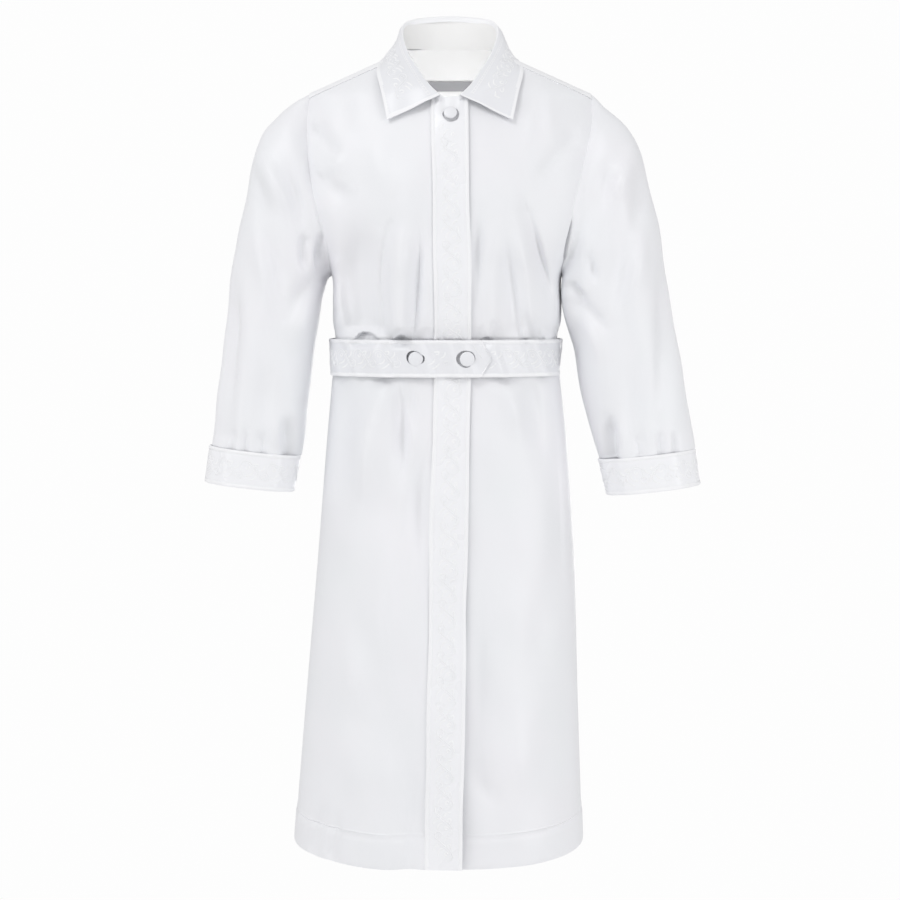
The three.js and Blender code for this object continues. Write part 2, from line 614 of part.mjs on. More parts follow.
function collarStand() {
  const rise = V(0, 0, STAND_GAP);
  const stations = collarStations(1);
  const columns = stations.map(({ roll, angle }) => {
    const foot = neckPoint(angle).add(rise);
    const head = foot.clone().lerp(roll, STAND_SHARE);
    return [foot, foot.clone().lerp(head, 0.5), head];
  });
  const outer = [0, 1, 2].map((r) => columns.map((points) => points[r]));
  const normals = gridNormals(outer, 1);
  normals.forEach((row) => row.forEach((n, c) => {
    if (n.dot(V(outer[0][c].x, outer[0][c].y, 0)) < 0) n.negate();
  }));
  return part('collar_stand', wallGeometry(outer, moved(outer, normals, -STAND_WALL)), cloth);
}

function collarLeaf() {
  const steps = [0, 0.12, 0.4, 0.7, 1];
  const stations = collarStations(0);
  const columns = stations.map(({ roll, edge, bulge }, i) => {
    const before = stations[Math.max(i - 1, 0)].roll;
    const after = stations[Math.min(i + 1, stations.length - 1)].roll;
    const out = edge.clone().sub(roll).cross(after.clone().sub(before)).normalize();
    if (out.dot(V(roll.x, roll.y, 90)) < 0) out.negate();
    const start = roll.clone().add(V(0, 0, LEAF_WALL));
    const crown = roll.clone().lerp(edge, 0.3).addScaledVector(out, 2 * bulge);
    const curve = new THREE.QuadraticBezierCurve3(start, crown, edge);
    return steps.map((t) => curve.getPoint(t));
  });
  const outer = steps.map((_, r) => columns.map((points) => points[r]));
  const normals = gridNormals(outer, 1);
  normals.forEach((row) => row.forEach((n, c) => {
    if (n.dot(V(outer[0][c].x, outer[0][c].y, 90)) < 0) n.negate();
  }));
  return part('collar_leaf', wallGeometry(outer, moved(outer, normals, -LEAF_WALL)), band);
}

// ---- belt, buttons and label ---------------------------------------------------------------
const OVER_PLACKET = LIFT + 2 * LAY + BAND_WALL;         // inner lift of the belt's under end
const OVER_END = OVER_PLACKET + WALL + LAY;              // inner lift of its pointed end
const BELT_SNUG = LAY;                                   // inner lift at the sides and back

const soft = (t) => THREE.MathUtils.smoothstep(t, 0, 1);

// The belt's run at one height, as base points with their lift, from the end that lies under,
// round the wearer's left, the back and the right, to the pointed end on top.
function beltRun(z, row) {
  const front = (x, lift) => ({ face: 'front', x, z, lift });
  const underLift = (x) => lerp(OVER_PLACKET, BELT_SNUG, soft((x - 66) / 76));
  const overLift = (x) => lerp(OVER_END, BELT_SNUG, soft((-96 - x) / 66));
  const lap = lapColumns('right', z);
  const under = [BELT.underX, -48, ...lap].map((x) => front(x, OVER_PLACKET));
  const right = frontGrid('right')[row].slice(LAP_COLS + 1)
    .map((p) => front(p.x, underLift(p.x)));
  const behind = backGrid()[row].slice(1, -1).reverse()
    .map((p) => ({ face: 'back', x: p.x, z, lift: BELT_SNUG }));
  const left = frontGrid('left')[row].slice(LAP_COLS + 1).reverse()
    .map((p) => front(p.x, overLift(p.x)));
  const over = [...lap, BELT.cornerX, BELT.pointX].map((x) => front(x, OVER_END));
  return [...under, ...right, ...behind, ...left, ...over];
}

function belt() {
  const levels = [BELT.bottom, BELT.middle, BELT.top];
  const firstRow = ROW_LEVELS.indexOf(BELT.bottom);
  const tipHalf = 2.5;
  const outer = [];
  const inner = [];
  levels.forEach((z, i) => {
    const run = beltRun(z, firstRow + i);
    run.at(-1).z = BELT.middle + (i - 1) * tipHalf;
    const faces = run.map(({ face, x, z: at, lift }) => {
      const base = clothPoint(face, x, at);
      const normal = clothNormal(face, x, at).setZ(0).normalize();
      return [base.clone().addScaledVector(normal, lift + WALL), base.addScaledVector(normal, lift)];
    });
    outer.push(faces.map(([out]) => out));
    inner.push(faces.map(([, into]) => into));
  });
  const holes = BUTTONS.slice(1);
  const strip = wallGeometry(outer, inner);
  const lift = OVER_END - LAY / 2;
  return part('belt', holes.reduce((geometry, hole) => withHole(geometry, hole, lift), strip), band);
}

// A covered button: a short shank and a domed head, on the cloth at the given lift.
function button({ name, x, z, radius, height }, lift) {
  const profile = [
    [0, 0], [0.5, 0], [0.5, 0.36], [0.92, 0.42], [1, 0.6], [0.93, 0.8], [0.6, 0.95], [0, 1],
  ].map(([r, h]) => new THREE.Vector2(r * radius, h * height));
  const mesh = part(name, new THREE.LatheGeometry(profile, 14), cloth);
  const base = clothPoint('front', x, z);
  const normal = clothNormal('front', x, z);
  mesh.position.copy(base).addScaledVector(normal, lift);
  mesh.quaternion.setFromUnitVectors(V(0, 1, 0), normal);
  return mesh;
}

// The neck button stands on the under front, whose flat facets lie a little inside the curve.
function buttons() {
  const onBelt = OVER_PLACKET + WALL + 2 * SEAM;
  const lifts = [-SEAM, onBelt, onBelt];
  return BUTTONS.map((item, i) => button(item, lifts[i]));
}

function neckLabel() {
  const steps = 6;
  const grid = [LABEL.bottom, LABEL.top].map((z) => Array.from({ length: steps + 1 }, (_, c) => (
    { x: lerp(-LABEL.half, LABEL.half, c / steps), z })));
  const { outer } = panelFaces(grid, 'back', () => -WALL - LABEL.gap);
  const { outer: inner } = panelFaces(grid, 'back', () => -WALL - LABEL.gap - LABEL.wall);
  return part('neck_label', wallGeometry(outer, inner), grey);
}

const kittel = new THREE.Group();
kittel.add(frontRight(), frontLeft(), placketBand());
kittel.add(backPanel('back_skirt_right', 'left', 'skirt'), backPanel('back_skirt_left', 'right', 'skirt'));
kittel.add(backPanel('back_bodice_right', 'left', 'bodice'));
kittel.add(backPanel('back_bodice_left', 'right', 'bodice'));
kittel.add(sleeve('sleeve_right', SLEEVES.right), sleeve('sleeve_left', SLEEVES.left));
kittel.add(cuff('cuff_right', SLEEVES.right), cuff('cuff_left', SLEEVES.left));
kittel.add(collarStand(), collarLeaf(), belt(), neckLabel(), ...buttons());

export default kittel;
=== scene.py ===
"""A kittel: a long, white, belted robe, hollow, in the shape that it has when worn.

Sizes are in millimetres and are turned into metres when a mesh is made. X runs to the
wearer's left, the front faces -Y and Z is up, from the middle of the neck base."""

import math

import bpy
import numpy as np
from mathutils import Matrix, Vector


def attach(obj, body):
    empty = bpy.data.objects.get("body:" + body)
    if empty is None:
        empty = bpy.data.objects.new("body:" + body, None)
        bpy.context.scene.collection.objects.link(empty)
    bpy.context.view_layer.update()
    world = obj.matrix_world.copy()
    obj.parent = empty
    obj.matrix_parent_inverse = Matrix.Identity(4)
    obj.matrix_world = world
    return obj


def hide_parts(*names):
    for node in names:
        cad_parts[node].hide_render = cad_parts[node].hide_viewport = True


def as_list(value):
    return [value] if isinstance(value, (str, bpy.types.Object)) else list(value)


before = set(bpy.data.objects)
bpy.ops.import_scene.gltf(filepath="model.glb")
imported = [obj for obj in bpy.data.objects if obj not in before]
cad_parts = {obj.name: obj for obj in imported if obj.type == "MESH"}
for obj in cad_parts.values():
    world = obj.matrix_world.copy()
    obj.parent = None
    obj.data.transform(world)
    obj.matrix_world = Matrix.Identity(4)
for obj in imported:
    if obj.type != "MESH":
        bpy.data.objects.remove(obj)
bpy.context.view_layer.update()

# ---- sizes ------------------------------------------------------------------------------------
MM = 0.001
CLOTH = 0.9          # thickness of a cloth panel
BAND = 53.0          # width of the placket, belt and cuff bands
BAND_CLOTH = 1.3     # thickness of a lined band
SEAM = 0.3           # gap between two pieces at a seam
LAP_LIFT = 2.6       # the upper front stands this far out from the under one
PLACKET_LIFT = 3.0   # the placket's inner face
EDGE_STANDS = 7.0    # how far the free edge stands off at the hem,
EDGE_FROM, EDGE_RUN = -560.0, 520.0    # rising from 0 at this height, over this run,
EDGE_FALL = 0.8      # and falling by this share across the placket's width
BELT_SNUG = 0.9      # the belt's inner face at the sides and back
UNDER_LIFT = 5.2     # the belt's under end, over the placket
OVER_LIFT = 7.2      # its pointed end, over the under end
NECK_HALF, NECK_TOP = 68.0, 16.0       # the neck seam over the shoulder: x and z
NECK_DROP, NECK_RISE = 82.0, 7.0       # how far it falls in front and rises behind
NECK_POWER = {"front": 1.6, "back": 1.2}    # how its fall and rise are rounded
NECK_WAVE = {"height": 0.9, "turn": 0.13, "shift": 0.8, "x": -14.0, "width": 26.0}   # behind
SHOULDER_SLOPE = 0.453    # how far the shoulders fall for each step outwards
SEAM_FORWARD = 9.0   # the shoulder seam lies this far below the ridge, in front
UNDERARM = -310.0    # height where the armholes end
SHOULDER_X = {"left": -205.0, "right": 206.0}
HEM = {"side": -1144.0, "front": -1160.0, "back": -1150.0}
HEM_FADE = 600.0     # the dip of the front and back hems fades out over this height
HEM_TURN = 50.0      # depth of the turned-up hem
# Sides are as seen from the front, left at -X. Pieces and folds are named for the wearer, whose
# right sleeve is on the left side.
SIGN = {"left": -1.0, "right": 1.0}


def table(names, *rows):
    """Named columns of numbers."""
    names = names.split()
    return {name: np.array([row[i] for row in rows], float) for i, name in enumerate(names)}


# Body sections: left and right are signed half widths, front and back are depths from the
# side seams, power rounds the section.
BODY = table(
    "z left right front back power",
    (-1170, -233, 198, 166, 152, 2.3), (-940, -214, 190, 152, 138, 2.35),
    (-733, -196, 184, 138, 126, 2.4), (-560, -182, 172, 124, 114, 2.45),
    (-470, -174, 163, 114, 104, 2.5), (-431, -170, 159, 110, 99, 2.5),
    (-400, -169, 158, 110, 99, 2.5), (-380, -172, 163, 118, 104, 2.55),
    (-354, -172, 164, 121, 106, 2.6), (-310, -174, 165, 123, 109, 2.6),
    (-252, -200, 194, 122, 112, 2.45), (-197, -221, 212, 118, 112, 2.3),
    (-147, -227, 222, 110, 108, 2.2), (-95, -222, 222, 96, 100, 2.15),
    (-66, -213, 214, 83, 93, 2.1), (-46, -205, 206, 73, 87, 2.05),
    (-15, -136, 137, 55, 76, 2.0), (16, -68, 68, 34, 64, 2.0), (40, -40, 40, 24, 56, 2.0),
)
ARMHOLE = table(
    "z left right",
    (-310, -174, 165), (-280, -176, 164), (-252, -180, 168), (-197, -197, 181),
    (-147, -205, 194), (-95, -208, 205), (-46, -205, 206),
)
FREE_EDGE = table(
    "z x", (-1170, 17), (-950, 20), (-733, 24), (-431, 30), (-250, 28), (-60, 26),
)

# Folds, each along a curve from (x0, z0) by (x1, z1) to (x2, z2). width is the half width of
# the fold and depth how far it stands out (under 0: sinks in). start and end are the share of
# the depth kept at each end; lean over 0 makes the +X side softer than the other.
FOLD_COLUMNS = "x0 z0 x1 z1 x2 z2 width depth start end lean"
FRONT_FOLDS = {
    "armhole drag": (-190, -106, -174, -128, -156, -148, 14, -6.0, 1.0, 0.0, 0.2),
    "armhole drag ridge": (-182, -128, -166, -148, -146, -166, 11, 3.0, 0.6, 0.0, 0.0),
    "chest drag": (-178, -176, -158, -192, -130, -204, 15, -6.0, 0.8, 0.0, 0.3),
    "chest slope": (-60, -120, -66, -180, -64, -250, 30, 4.0, 0.0, 0.6, -0.2),
    "chest slope left": (74, -128, 84, -190, 82, -260, 26, 3.6, 0.0, 0.5, 0.2),
    "light streak": (96, -240, 106, -300, 118, -390, 9, 4.0, 0.0, 1.4, 0.0),
    "side shade": (-126, -206, -126, -300, -118, -396, 30, -15.0, 0.0, 1.3, -0.1),
    "side hollow": (-146, -226, -142, -300, -136, -392, 18, -3.0, 0.1, 0.9, 0.0),
    "side puff": (-166, -296, -165, -340, -160, -394, 9, 5.0, 0.5, 0.3, 0.0),
    "side puff left": (156, -290, 153, -336, 149, -394, 11, 3.6, 0.3, 0.4, 0.0),
    "waist notch": (-87, -240, -97, -306, -94, -396, 6, -4.4, 0.4, 1.0, -0.4),
    "waist ridge": (-70, -226, -73, -310, -74, -400, 19, 14.0, 0.1, 1.5, 0.0),
    "inner trough": (-46, -236, -42, -300, -52, -392, 9, -6.0, 0.1, 0.8, 0.5),
    "inner ridge": (-30, -262, -27, -330, -34, -398, 10, 3.5, 0.0, 0.8, 0.0),
    "side tuck": (-156, -296, -151, -340, -144, -378, 8, -3.0, 0.0, 0.7, 0.0),
    "placket trough": (44, -216, 40, -276, 36, -350, 8, -5.0, 0.2, 0.2, 0.3),
    "placket ridge": (62, -226, 58, -290, 60, -396, 14, 4.0, 0.0, 1.8, 0.0),
    "thin trough": (78, -240, 88, -324, 97, -398, 9, -5.6, 0.0, 1.0, 0.3),
    "long drag": (112, -222, 130, -286, 149, -350, 10, -11.0, 0.2, 0.2, 0.5),
    "drag ridge": (98, -222, 112, -290, 130, -366, 17, 7.5, 0.0, 0.5, 0.0),
    "belt tuck a": (108, -360, 112, -382, 118, -403, 7, -4.6, 0.0, 1.0, 0.0),
    "belt tuck b": (62, -372, 64, -388, 65, -403, 7, -4.0, 0.0, 1.0, 0.0),
    "shoulder ridge a": (140, -44, 143, -84, 140, -124, 11, 2.4, 0.3, 0.0, 0.0),
    "shoulder ridge b": (118, -52, 116, -100, 108, -150, 10, 1.8, 0.2, 0.0, 0.0),
    "chest drag left": (176, -118, 148, -152, 112, -192, 13, -4.6, 0.8, 0.0, 0.2),
    "shoulder hollow": (-150, -40, -152, -90, -146, -130, 16, -2.4, 0.2, 0.0, 0.0),
    "chest ridge": (-112, -110, -104, -160, -88, -214, 17, 3.0, 0.0, 0.2, 0.0),
    "skirt ridge": (-86, -462, -122, -550, -116, -664, 24, 16.0, 0.7, 0.0, -0.2),
    "skirt trough a": (-77, -460, -67, -540, -72, -640, 11, -10.0, 0.9, 0.0, 0.2),
    "skirt trough b": (-62, -460, -55, -496, -50, -560, 8, -5.0, 1.0, 0.0, 0.2),
    "side trough": (-148, -464, -152, -560, -156, -700, 17, -7.0, 0.7, 0.0, 0.0),
    "placket shade": (-40, -540, -42, -640, -44, -780, 15, -8.0, 0.0, 0.0, 0.2),
    "long ridge": (-86, -640, -92, -800, -96, -1010, 26, 5.0, 0.0, 0.3, 0.0),
    "faint ridge": (-138, -800, -142, -880, -140, -960, 24, 5.0, 0.0, 0.0, 0.0),
    "skirt ridge left": (76, -462, 94, -504, 106, -560, 16, 7.0, 0.7, 0.0, 0.0),
    "skirt trough left": (112, -462, 126, -520, 132, -620, 14, -5.5, 0.8, 0.0, 0.2),
    "side line": (150, -500, 158, -650, 162, -810, 11, -5.0, 0.3, 0.0, 0.4),
    "left length": (92, -660, 98, -820, 96, -1000, 30, 5.0, 0.0, 0.4, 0.0),
    "middle length": (48, -700, 46, -860, 44, -1040, 16, -3.4, 0.0, 0.4, 0.0),
    "hem diagonal": (36, -1018, 56, -1052, 84, -1078, 12, -1.6, 0.4, 0.0, 0.0),
    "hem wave a": (-120, -1170, -112, -1040, -104, -900, 38, 5.0, 1.0, 0.0, 0.0),
    "hem wave b": (105, -1170, 98, -1050, 90, -880, 42, 5.0, 1.0, 0.0, 0.0),
    "hem wave c": (-62, -1170, -58, -1080, -60, -980, 18, -4.6, 1.0, 0.0, 0.0),
    "hem pucker a": (-198, -1140, -190, -1106, -182, -1066, 9, -4.0, 1.0, 0.0, 0.0),
    "hem pucker b": (-170, -1146, -164, -1112, -160, -1080, 7, -2.8, 1.0, 0.0, 0.0),
}
BACK_FOLDS = {
    "left skirt": (-68, -462, -88, -640, -98, -930, 30, 12.0, 0.7, 0.0, 0.1),
    "right skirt": (60, -462, 80, -620, 90, -880, 32, 11.0, 0.8, 0.0, -0.1),
    "middle skirt": (-4, -462, 4, -560, 6, -790, 20, -9.0, 0.9, 0.0, 0.0),
    "left trough": (-110, -462, -120, -560, -128, -700, 12, -8.0, 0.9, 0.0, 0.2),
    "right trough": (102, -462, 112, -540, 118, -640, 11, -7.4, 0.9, 0.0, 0.2),
    "left blouse": (-60, -398, -52, -320, -44, -240, 20, 10.0, 1.0, 0.0, 0.1),
    "right blouse": (66, -398, 58, -330, 52, -236, 21, 9.0, 1.0, 0.0, -0.1),
    "middle blouse": (0, -398, -4, -340, 2, -280, 12, -7.0, 1.0, 0.0, 0.0),
    "outer tuck": (-118, -398, -112, -350, -116, -300, 10, -6.4, 1.0, 0.0, 0.2),
    "outer tuck left": (112, -398, 108, -360, 116, -316, 9, -6.0, 1.0, 0.0, -0.2),
    "shoulder drag": (-168, -120, -140, -170, -100, -196, 13, -3.6, 0.7, 0.0, 0.0),
    "shoulder drag left": (166, -126, 140, -176, 108, -208, 12, -3.4, 0.7, 0.0, 0.0),
    "hem wave a": (-112, -1170, -106, -1050, -98, -900, 36, 5.0, 1.0, 0.0, 0.0),
    "hem wave b": (86, -1170, 90, -1060, 96, -930, 34, 4.6, 1.0, 0.0, 0.0),
    "hem hollow": (-12, -1170, -10, -1070, -8, -960, 26, -4.4, 1.0, 0.0, 0.0),
}

# Sleeve rings from armhole to cuff, and the cuff's own two: outer and inner points (x away from
# the body's middle), the middle in y and the half depth.
RING_COLUMNS = "out_x out_z in_x in_z y depth"
SLEEVES = {
    "right": {"side": "left", "rings": table(
        RING_COLUMNS,
        (243, -72, 178.5, -318, -1, 72), (274, -107, 182, -330, -3, 75),
        (293, -162, 186, -345, -6, 75), (308, -238, 191, -370, -9, 72),
        (323, -332, 198, -412, -14, 67), (335, -430, 206, -478, -21, 61),
        (346, -520, 214, -546, -28, 56), (350.5, -559, 219, -574, -31, 54)),
        "cuff": table(
        RING_COLUMNS,
        (351.5, -559.5, 218.5, -574.5, -31, 55), (358.5, -613, 228.5, -627, -36, 53))},
    "left": {"side": "right", "rings": table(
        RING_COLUMNS,
        (242, -75, 166, -322, -1, 72), (269, -109, 166, -338, -3, 76),
        (290, -165, 167, -358, -6, 76), (307, -240, 171, -388, -9, 74),
        (323, -334, 180, -424, -14, 71), (338, -434, 191, -484, -21, 66),
        (352, -525, 210, -551, -28, 60), (357.5, -564, 217.5, -579, -31, 57)),
        "cuff": table(
        RING_COLUMNS,
        (358.5, -564.5, 217, -579.5, -31, 58), (366, -617, 229.5, -632, -36, 56))},
}

# Collar stations from the front end round to the back: the angle round the neck, the roll, the
# leaf's outer edge, and how far the leaf bulges out between them.
COLLAR = table(
    "station angle roll_x roll_y roll_z edge_x edge_y edge_z bulge",
    (0, 14, 14, -92, -56, 90, -95, -90, 2), (1, 27, 30, -81, -40, 98, -77, -52, 3.5),
    (2, 42, 46, -59, -16, 106, -48, -20, 3.5), (3, 64, 60, -31, 8, 104.5, -17, -5, 3),
    (4, 90, 69, 0, 33, 100, 14, 3, 2.5), (5, 118, 70, 28, 53, 90, 46, 3, 3),
    (6, 142, 58, 48, 64, 72, 70, 1, 6), (7, 162, 31, 59, 69, 37, 83, -1, 6),
    (8, 180, 0, 62, 71, 0, 87, -2, 6),
)
BELT = {"top": -404.5, "bottom": -457.5, "point": 57.0, "corner": 44.0, "under": -76.0}
BUTTONS = table(
    "x z radius height lift",
    (0.6, -83, 9.6, 6.2, 4.2), (-48, -432, 10.8, 5.4, 8.0), (24, -432, 10.8, 5.4, 8.0),
)
LABEL = {"half": 42.0, "top": -22.0, "bottom": -36.0, "thick": 0.6, "gap": 1.5, "cols": 41,
         "rows": 9}


# ---- reading the tables -----------------------------------------------------------------------
def read(tab, name, at, key="z"):
    """A smooth curve through one column of a table, read at the key's value."""
    keys, values, at = tab[key], tab[name], np.asarray(at, float)
    i = np.clip(np.searchsorted(keys, at) - 1, 0, len(keys) - 2)
    before, after = np.maximum(i - 1, 0), np.minimum(i + 2, len(keys) - 1)
    span = keys[i + 1] - keys[i]
    t = np.clip((at - keys[i]) / span, -0.2, 1.2)
    m0 = (values[i + 1] - values[before]) / (keys[i + 1] - keys[before]) * span
    m1 = (values[after] - values[i]) / (keys[after] - keys[i]) * span
    t2, t3 = t * t, t * t * t
    return ((2 * t3 - 3 * t2 + 1) * values[i] + (t3 - 2 * t2 + t) * m0
            + (3 * t2 - 2 * t3) * values[i + 1] + (t3 - t2) * m1)


def lerp(a, b, t):
    return a + (b - a) * t


def soft(t):
    """0 up to 0, 1 from 1 on, and a smooth rise between."""
    t = np.clip(t, 0, 1)
    return t * t * (3 - 2 * t)


def bell(gap, width):
    """1 where there is no gap, falling off softly by about the width."""
    return np.exp(-(gap / width) ** 2)


def waves(tab, at):
    """A sum of waves, each with its depth, turn and shift."""
    return sum(depth * np.sin(at * turn + shift) for depth, turn, shift
               in zip(tab["depth"], tab["turn"], tab["shift"]))


def bow(start, control, end, t):
    """A curve from start to end, drawn out towards a control point."""
    return (1 - t) ** 2 * start + 2 * t * (1 - t) * control + t * t * end


def unit(v):
    return v / np.maximum(np.linalg.norm(v, axis=-1, keepdims=True), 1e-9)


def stack(x, y, z):
    return np.stack(np.broadcast_arrays(x, y, z), axis=-1).astype(float)


def run_length(points):
    """How far along its line each point lies; each column of a grid is a line."""
    steps = np.linalg.norm(np.diff(points, axis=0), axis=-1)
    return np.concatenate([0 * steps[:1], np.cumsum(steps, axis=0)])


UP, LEVEL = np.array([0, 0, 1.0]), np.array([1.0, 1.0, 0])    # upward, and what keeps x and y


# ---- the body's form --------------------------------------------------------------------------
def ridge_z(x):
    """Height of the shoulders' ridge."""
    return NECK_TOP - (np.abs(x) - NECK_HALF) * SHOULDER_SLOPE


def edge_x(side, z):
    """Outermost x of the body's section."""
    high = SIGN[side] * (NECK_HALF + (NECK_TOP - z) / SHOULDER_SLOPE)
    return np.where(z > ridge_z(SHOULDER_X[side]), high, read(BODY, side, z))


def middle_x(z):
    return (edge_x("left", z) + edge_x("right", z)) / 2


def body_depth(face, x, z):
    """How far the body's plain form lies in front of the side seams, or behind them."""
    middle = middle_x(z)
    edge = np.where(x < middle, edge_x("left", z), edge_x("right", z))
    u = np.clip((x - middle) / (edge - middle), 0, 1)
    power = read(BODY, "power", z)
    return read(BODY, face, z) * np.maximum(1 - u ** power, 0) ** (1 / power)


CURVE_STEPS = 10     # straight steps along a fold's curve


def fold_height(folds, x, z):
    """How far the folds stand out at each point."""
    total = np.zeros(np.broadcast(x, z).shape)
    for row in folds.values():
        f = dict(zip(FOLD_COLUMNS.split(), row))
        start, middle, end = (np.array([f["x" + i], f["z" + i]]) for i in "012")
        # the curve passes through its middle point half way along
        line = bow(start, 2 * middle - (start + end) / 2, end,
                   np.linspace(0, 1, CURVE_STEPS + 1)[:, None])
        nearest = np.full(total.shape, 1e9)
        across = np.zeros(total.shape)
        along = np.zeros(total.shape)
        for k in range(CURVE_STEPS):
            ax, az = line[k]
            dx, dz = line[k + 1] - line[k]
            t = ((x - ax) * dx + (z - az) * dz) / (dx * dx + dz * dz)
            held = np.clip(t, 0, 1)
            gap = np.hypot(x - ax - held * dx, z - az - held * dz)
            side = np.sign((x - ax) * dz - (z - az) * dx) * np.sign(-dz or 1)
            closer = gap < nearest
            nearest = np.where(closer, gap, nearest)
            across = np.where(closer, side, across)
            along = np.where(closer, (k + held) / CURVE_STEPS, along)
        width = f["width"] * (1 + f["lean"] * across)
        share = np.where(along < 0.5, lerp(f["start"], 1, soft(along * 2)),
                         lerp(1, f["end"], soft(along * 2 - 1)))
        total += f["depth"] * share * bell(nearest, width)
    return total


LOOSE = 1.45         # how uneven the free cloth is
# Its waves: how fast each turns across and lengthwise, in radians a millimetre, and its size.
WAVES = table(
    "across lengthwise size",
    (0.020, 0.013, 0.9), (0.052, 0.019, 0.8), (-0.046, 0.023, 0.65), (0.088, -0.031, 0.34),
    (0.026, 0.058, 0.34), (-0.122, -0.044, 0.2),
)
WAVE_SHIFT = 1.7     # each wave starts this much after the one before


def unevenness(x, z, seed):
    """The slight waviness of cloth that hangs free."""
    return LOOSE * sum(size * np.sin(across * x + lengthwise * z + seed + WAVE_SHIFT * i)
                       for i, (across, lengthwise, size) in enumerate(zip(*WAVES.values())))


BELT_HOLD = 22.0     # the folds flatten out this far above and below the belt
UNDER_BELT = 0.12    # share of a fold that is left under it
FOLD_STRENGTH = 1.5  # the fronts' and back's folds are this many times as deep as their tables say
FOLDS_FADE = 40.0    # folds fade out where the body is less deep than this, towards its sides

# Where the cloth blouses over the belt: from x0 to x1 it stands off the belt's top edge, by
# depth at most, in an arch of this height.
BLOUSE = table("x0 x1 height depth", (-142, -100, 12, 15), (-84, -54, 11, 13), (42, 62, 5, 6),
               (99, 113, 4, 5), (128, 139, 5, 5))
BLOUSE_BULGE = {"depth": 4.0, "over": 6.0, "width": 7.0}    # the cloth swells out over each arch
BLOUSE_FLOOR = -14.0      # an arch's hollow ends this far under the belt's top edge
BLOUSE_SOFT = {"arch": 0.3, "floor": 10.0}    # how soft the hollow's edges are
BELT_GROOVE = {"depth": 2.0, "over": 1.0, "width": 2.2}     # the belt draws the cloth in here


def free_of_belt(z):
    """The share of the folds that is left near the belt, which holds them flat."""
    past = np.maximum(np.maximum(BELT["bottom"] - z, z - BELT["top"]), 0)
    return lerp(UNDER_BELT, 1, soft(past / BELT_HOLD))


def blouse(x, z):
    """The hollows between the cloth and the belt's top edge, and the bulge over them."""
    up = z - BELT["top"]
    total = -BELT_GROOVE["depth"] * bell(up - BELT_GROOVE["over"], BELT_GROOVE["width"])
    for x0, x1, height, depth in zip(*BLOUSE.values()):
        arch = np.sin(np.pi * np.clip((x - x0) / (x1 - x0), 0, 1))
        reach = height * arch + 0.1
        inside = (soft((reach - up) / (BLOUSE_SOFT["arch"] * height))
                  * soft((up - BLOUSE_FLOOR) / BLOUSE_SOFT["floor"]))
        total -= depth * arch * inside
        total += BLOUSE_BULGE["depth"] * arch * bell(up - reach - BLOUSE_BULGE["over"],
                                                     BLOUSE_BULGE["width"])
    return total


FACES = {"front": {"sign": -1.0, "folds": FRONT_FOLDS, "seed": 0.4},
         "back": {"sign": 1.0, "folds": BACK_FOLDS, "seed": 2.9}}


def body_point(face, x, z):
    """A point of the body's plain form, with no folds."""
    return stack(x, FACES[face]["sign"] * body_depth(face, x, z), z)


def cloth_point(face, x, z):
    """A point of the cloth on the front or the back."""
    sign, folds, seed = FACES[face].values()
    depth = body_depth(face, x, z)
    fade = np.clip(depth / FOLDS_FADE, 0, 1) * free_of_belt(z)
    height = fade * (FOLD_STRENGTH * fold_height(folds, x, z) + unevenness(x, z, seed))
    if face == "front":
        height = height + blouse(x, z)
    return stack(x, sign * (depth + height), z)


SLOPE_STEP = 2.0     # a slope is read from this far on either side,
SLOPE_INSIDE = 0.985      # at this share of the way out to the side,
# and near the shoulders' height from this far further down.
SLOPE_RIDGE = {"within": 20.0, "down": 1.5}


def cloth_normal(face, x, z, point=cloth_point):
    """The outward normal, read a little inside the outline, where the slope is finite."""
    x, z = np.broadcast_arrays(np.asarray(x, float), np.asarray(z, float))
    middle = middle_x(z)
    xi = middle + (x - middle) * SLOPE_INSIDE
    zi = np.where(z > ridge_z(SHOULDER_X["left"]) - SLOPE_RIDGE["within"],
                  z - SLOPE_RIDGE["down"], z)
    dx = point(face, xi + SLOPE_STEP, zi) - point(face, xi - SLOPE_STEP, zi)
    dz = point(face, xi, zi + SLOPE_STEP) - point(face, xi, zi - SLOPE_STEP)
    return -FACES[face]["sign"] * unit(np.cross(dx, dz))


def cloth_place(face, x, z, point=cloth_point):
    """The cloth's point and the outward normal there, by the cloth or by the body's plain form."""
    return cloth_point(face, x, z), cloth_normal(face, x, z, point)


def neck_xz(angle):
    """The neck seam: 0 in front, 90 over the shoulder, 180 at the back."""
    c = np.cos(np.radians(angle))
    x = NECK_HALF * np.sin(np.radians(angle))
    wave = (NECK_WAVE["height"] * np.sin(x * NECK_WAVE["turn"] + NECK_WAVE["shift"])
            * bell(x - NECK_WAVE["x"], NECK_WAVE["width"]))
    z = np.where(c > 0, NECK_TOP - NECK_DROP * np.abs(c) ** NECK_POWER["front"],
                 NECK_TOP + NECK_RISE * np.abs(c) ** NECK_POWER["back"] + wave)
    return x, z


def neck_point(angle):
    """A point of the neck seam, on the cloth."""
    x, z = neck_xz(angle)
    front = np.abs(angle) < 90
    return np.where(front[..., None], cloth_point("front", x, z), cloth_point("back", x, z))


# ---- meshes -----------------------------------------------------------------------------------
def grid_normals(grid, sense, wraps=False):
    """Normals of a grid of points by differences; sense 1 or -1 turns them outward."""
    if wraps:
        along = np.roll(grid, -1, axis=1) - np.roll(grid, 1, axis=1)
    else:
        along = np.gradient(grid, axis=1)
    return sense * unit(np.cross(along, np.gradient(grid, axis=0)))


def add_object(name, data):
    obj = bpy.data.objects.new(name, data)
    bpy.context.scene.collection.objects.link(obj)
    return obj


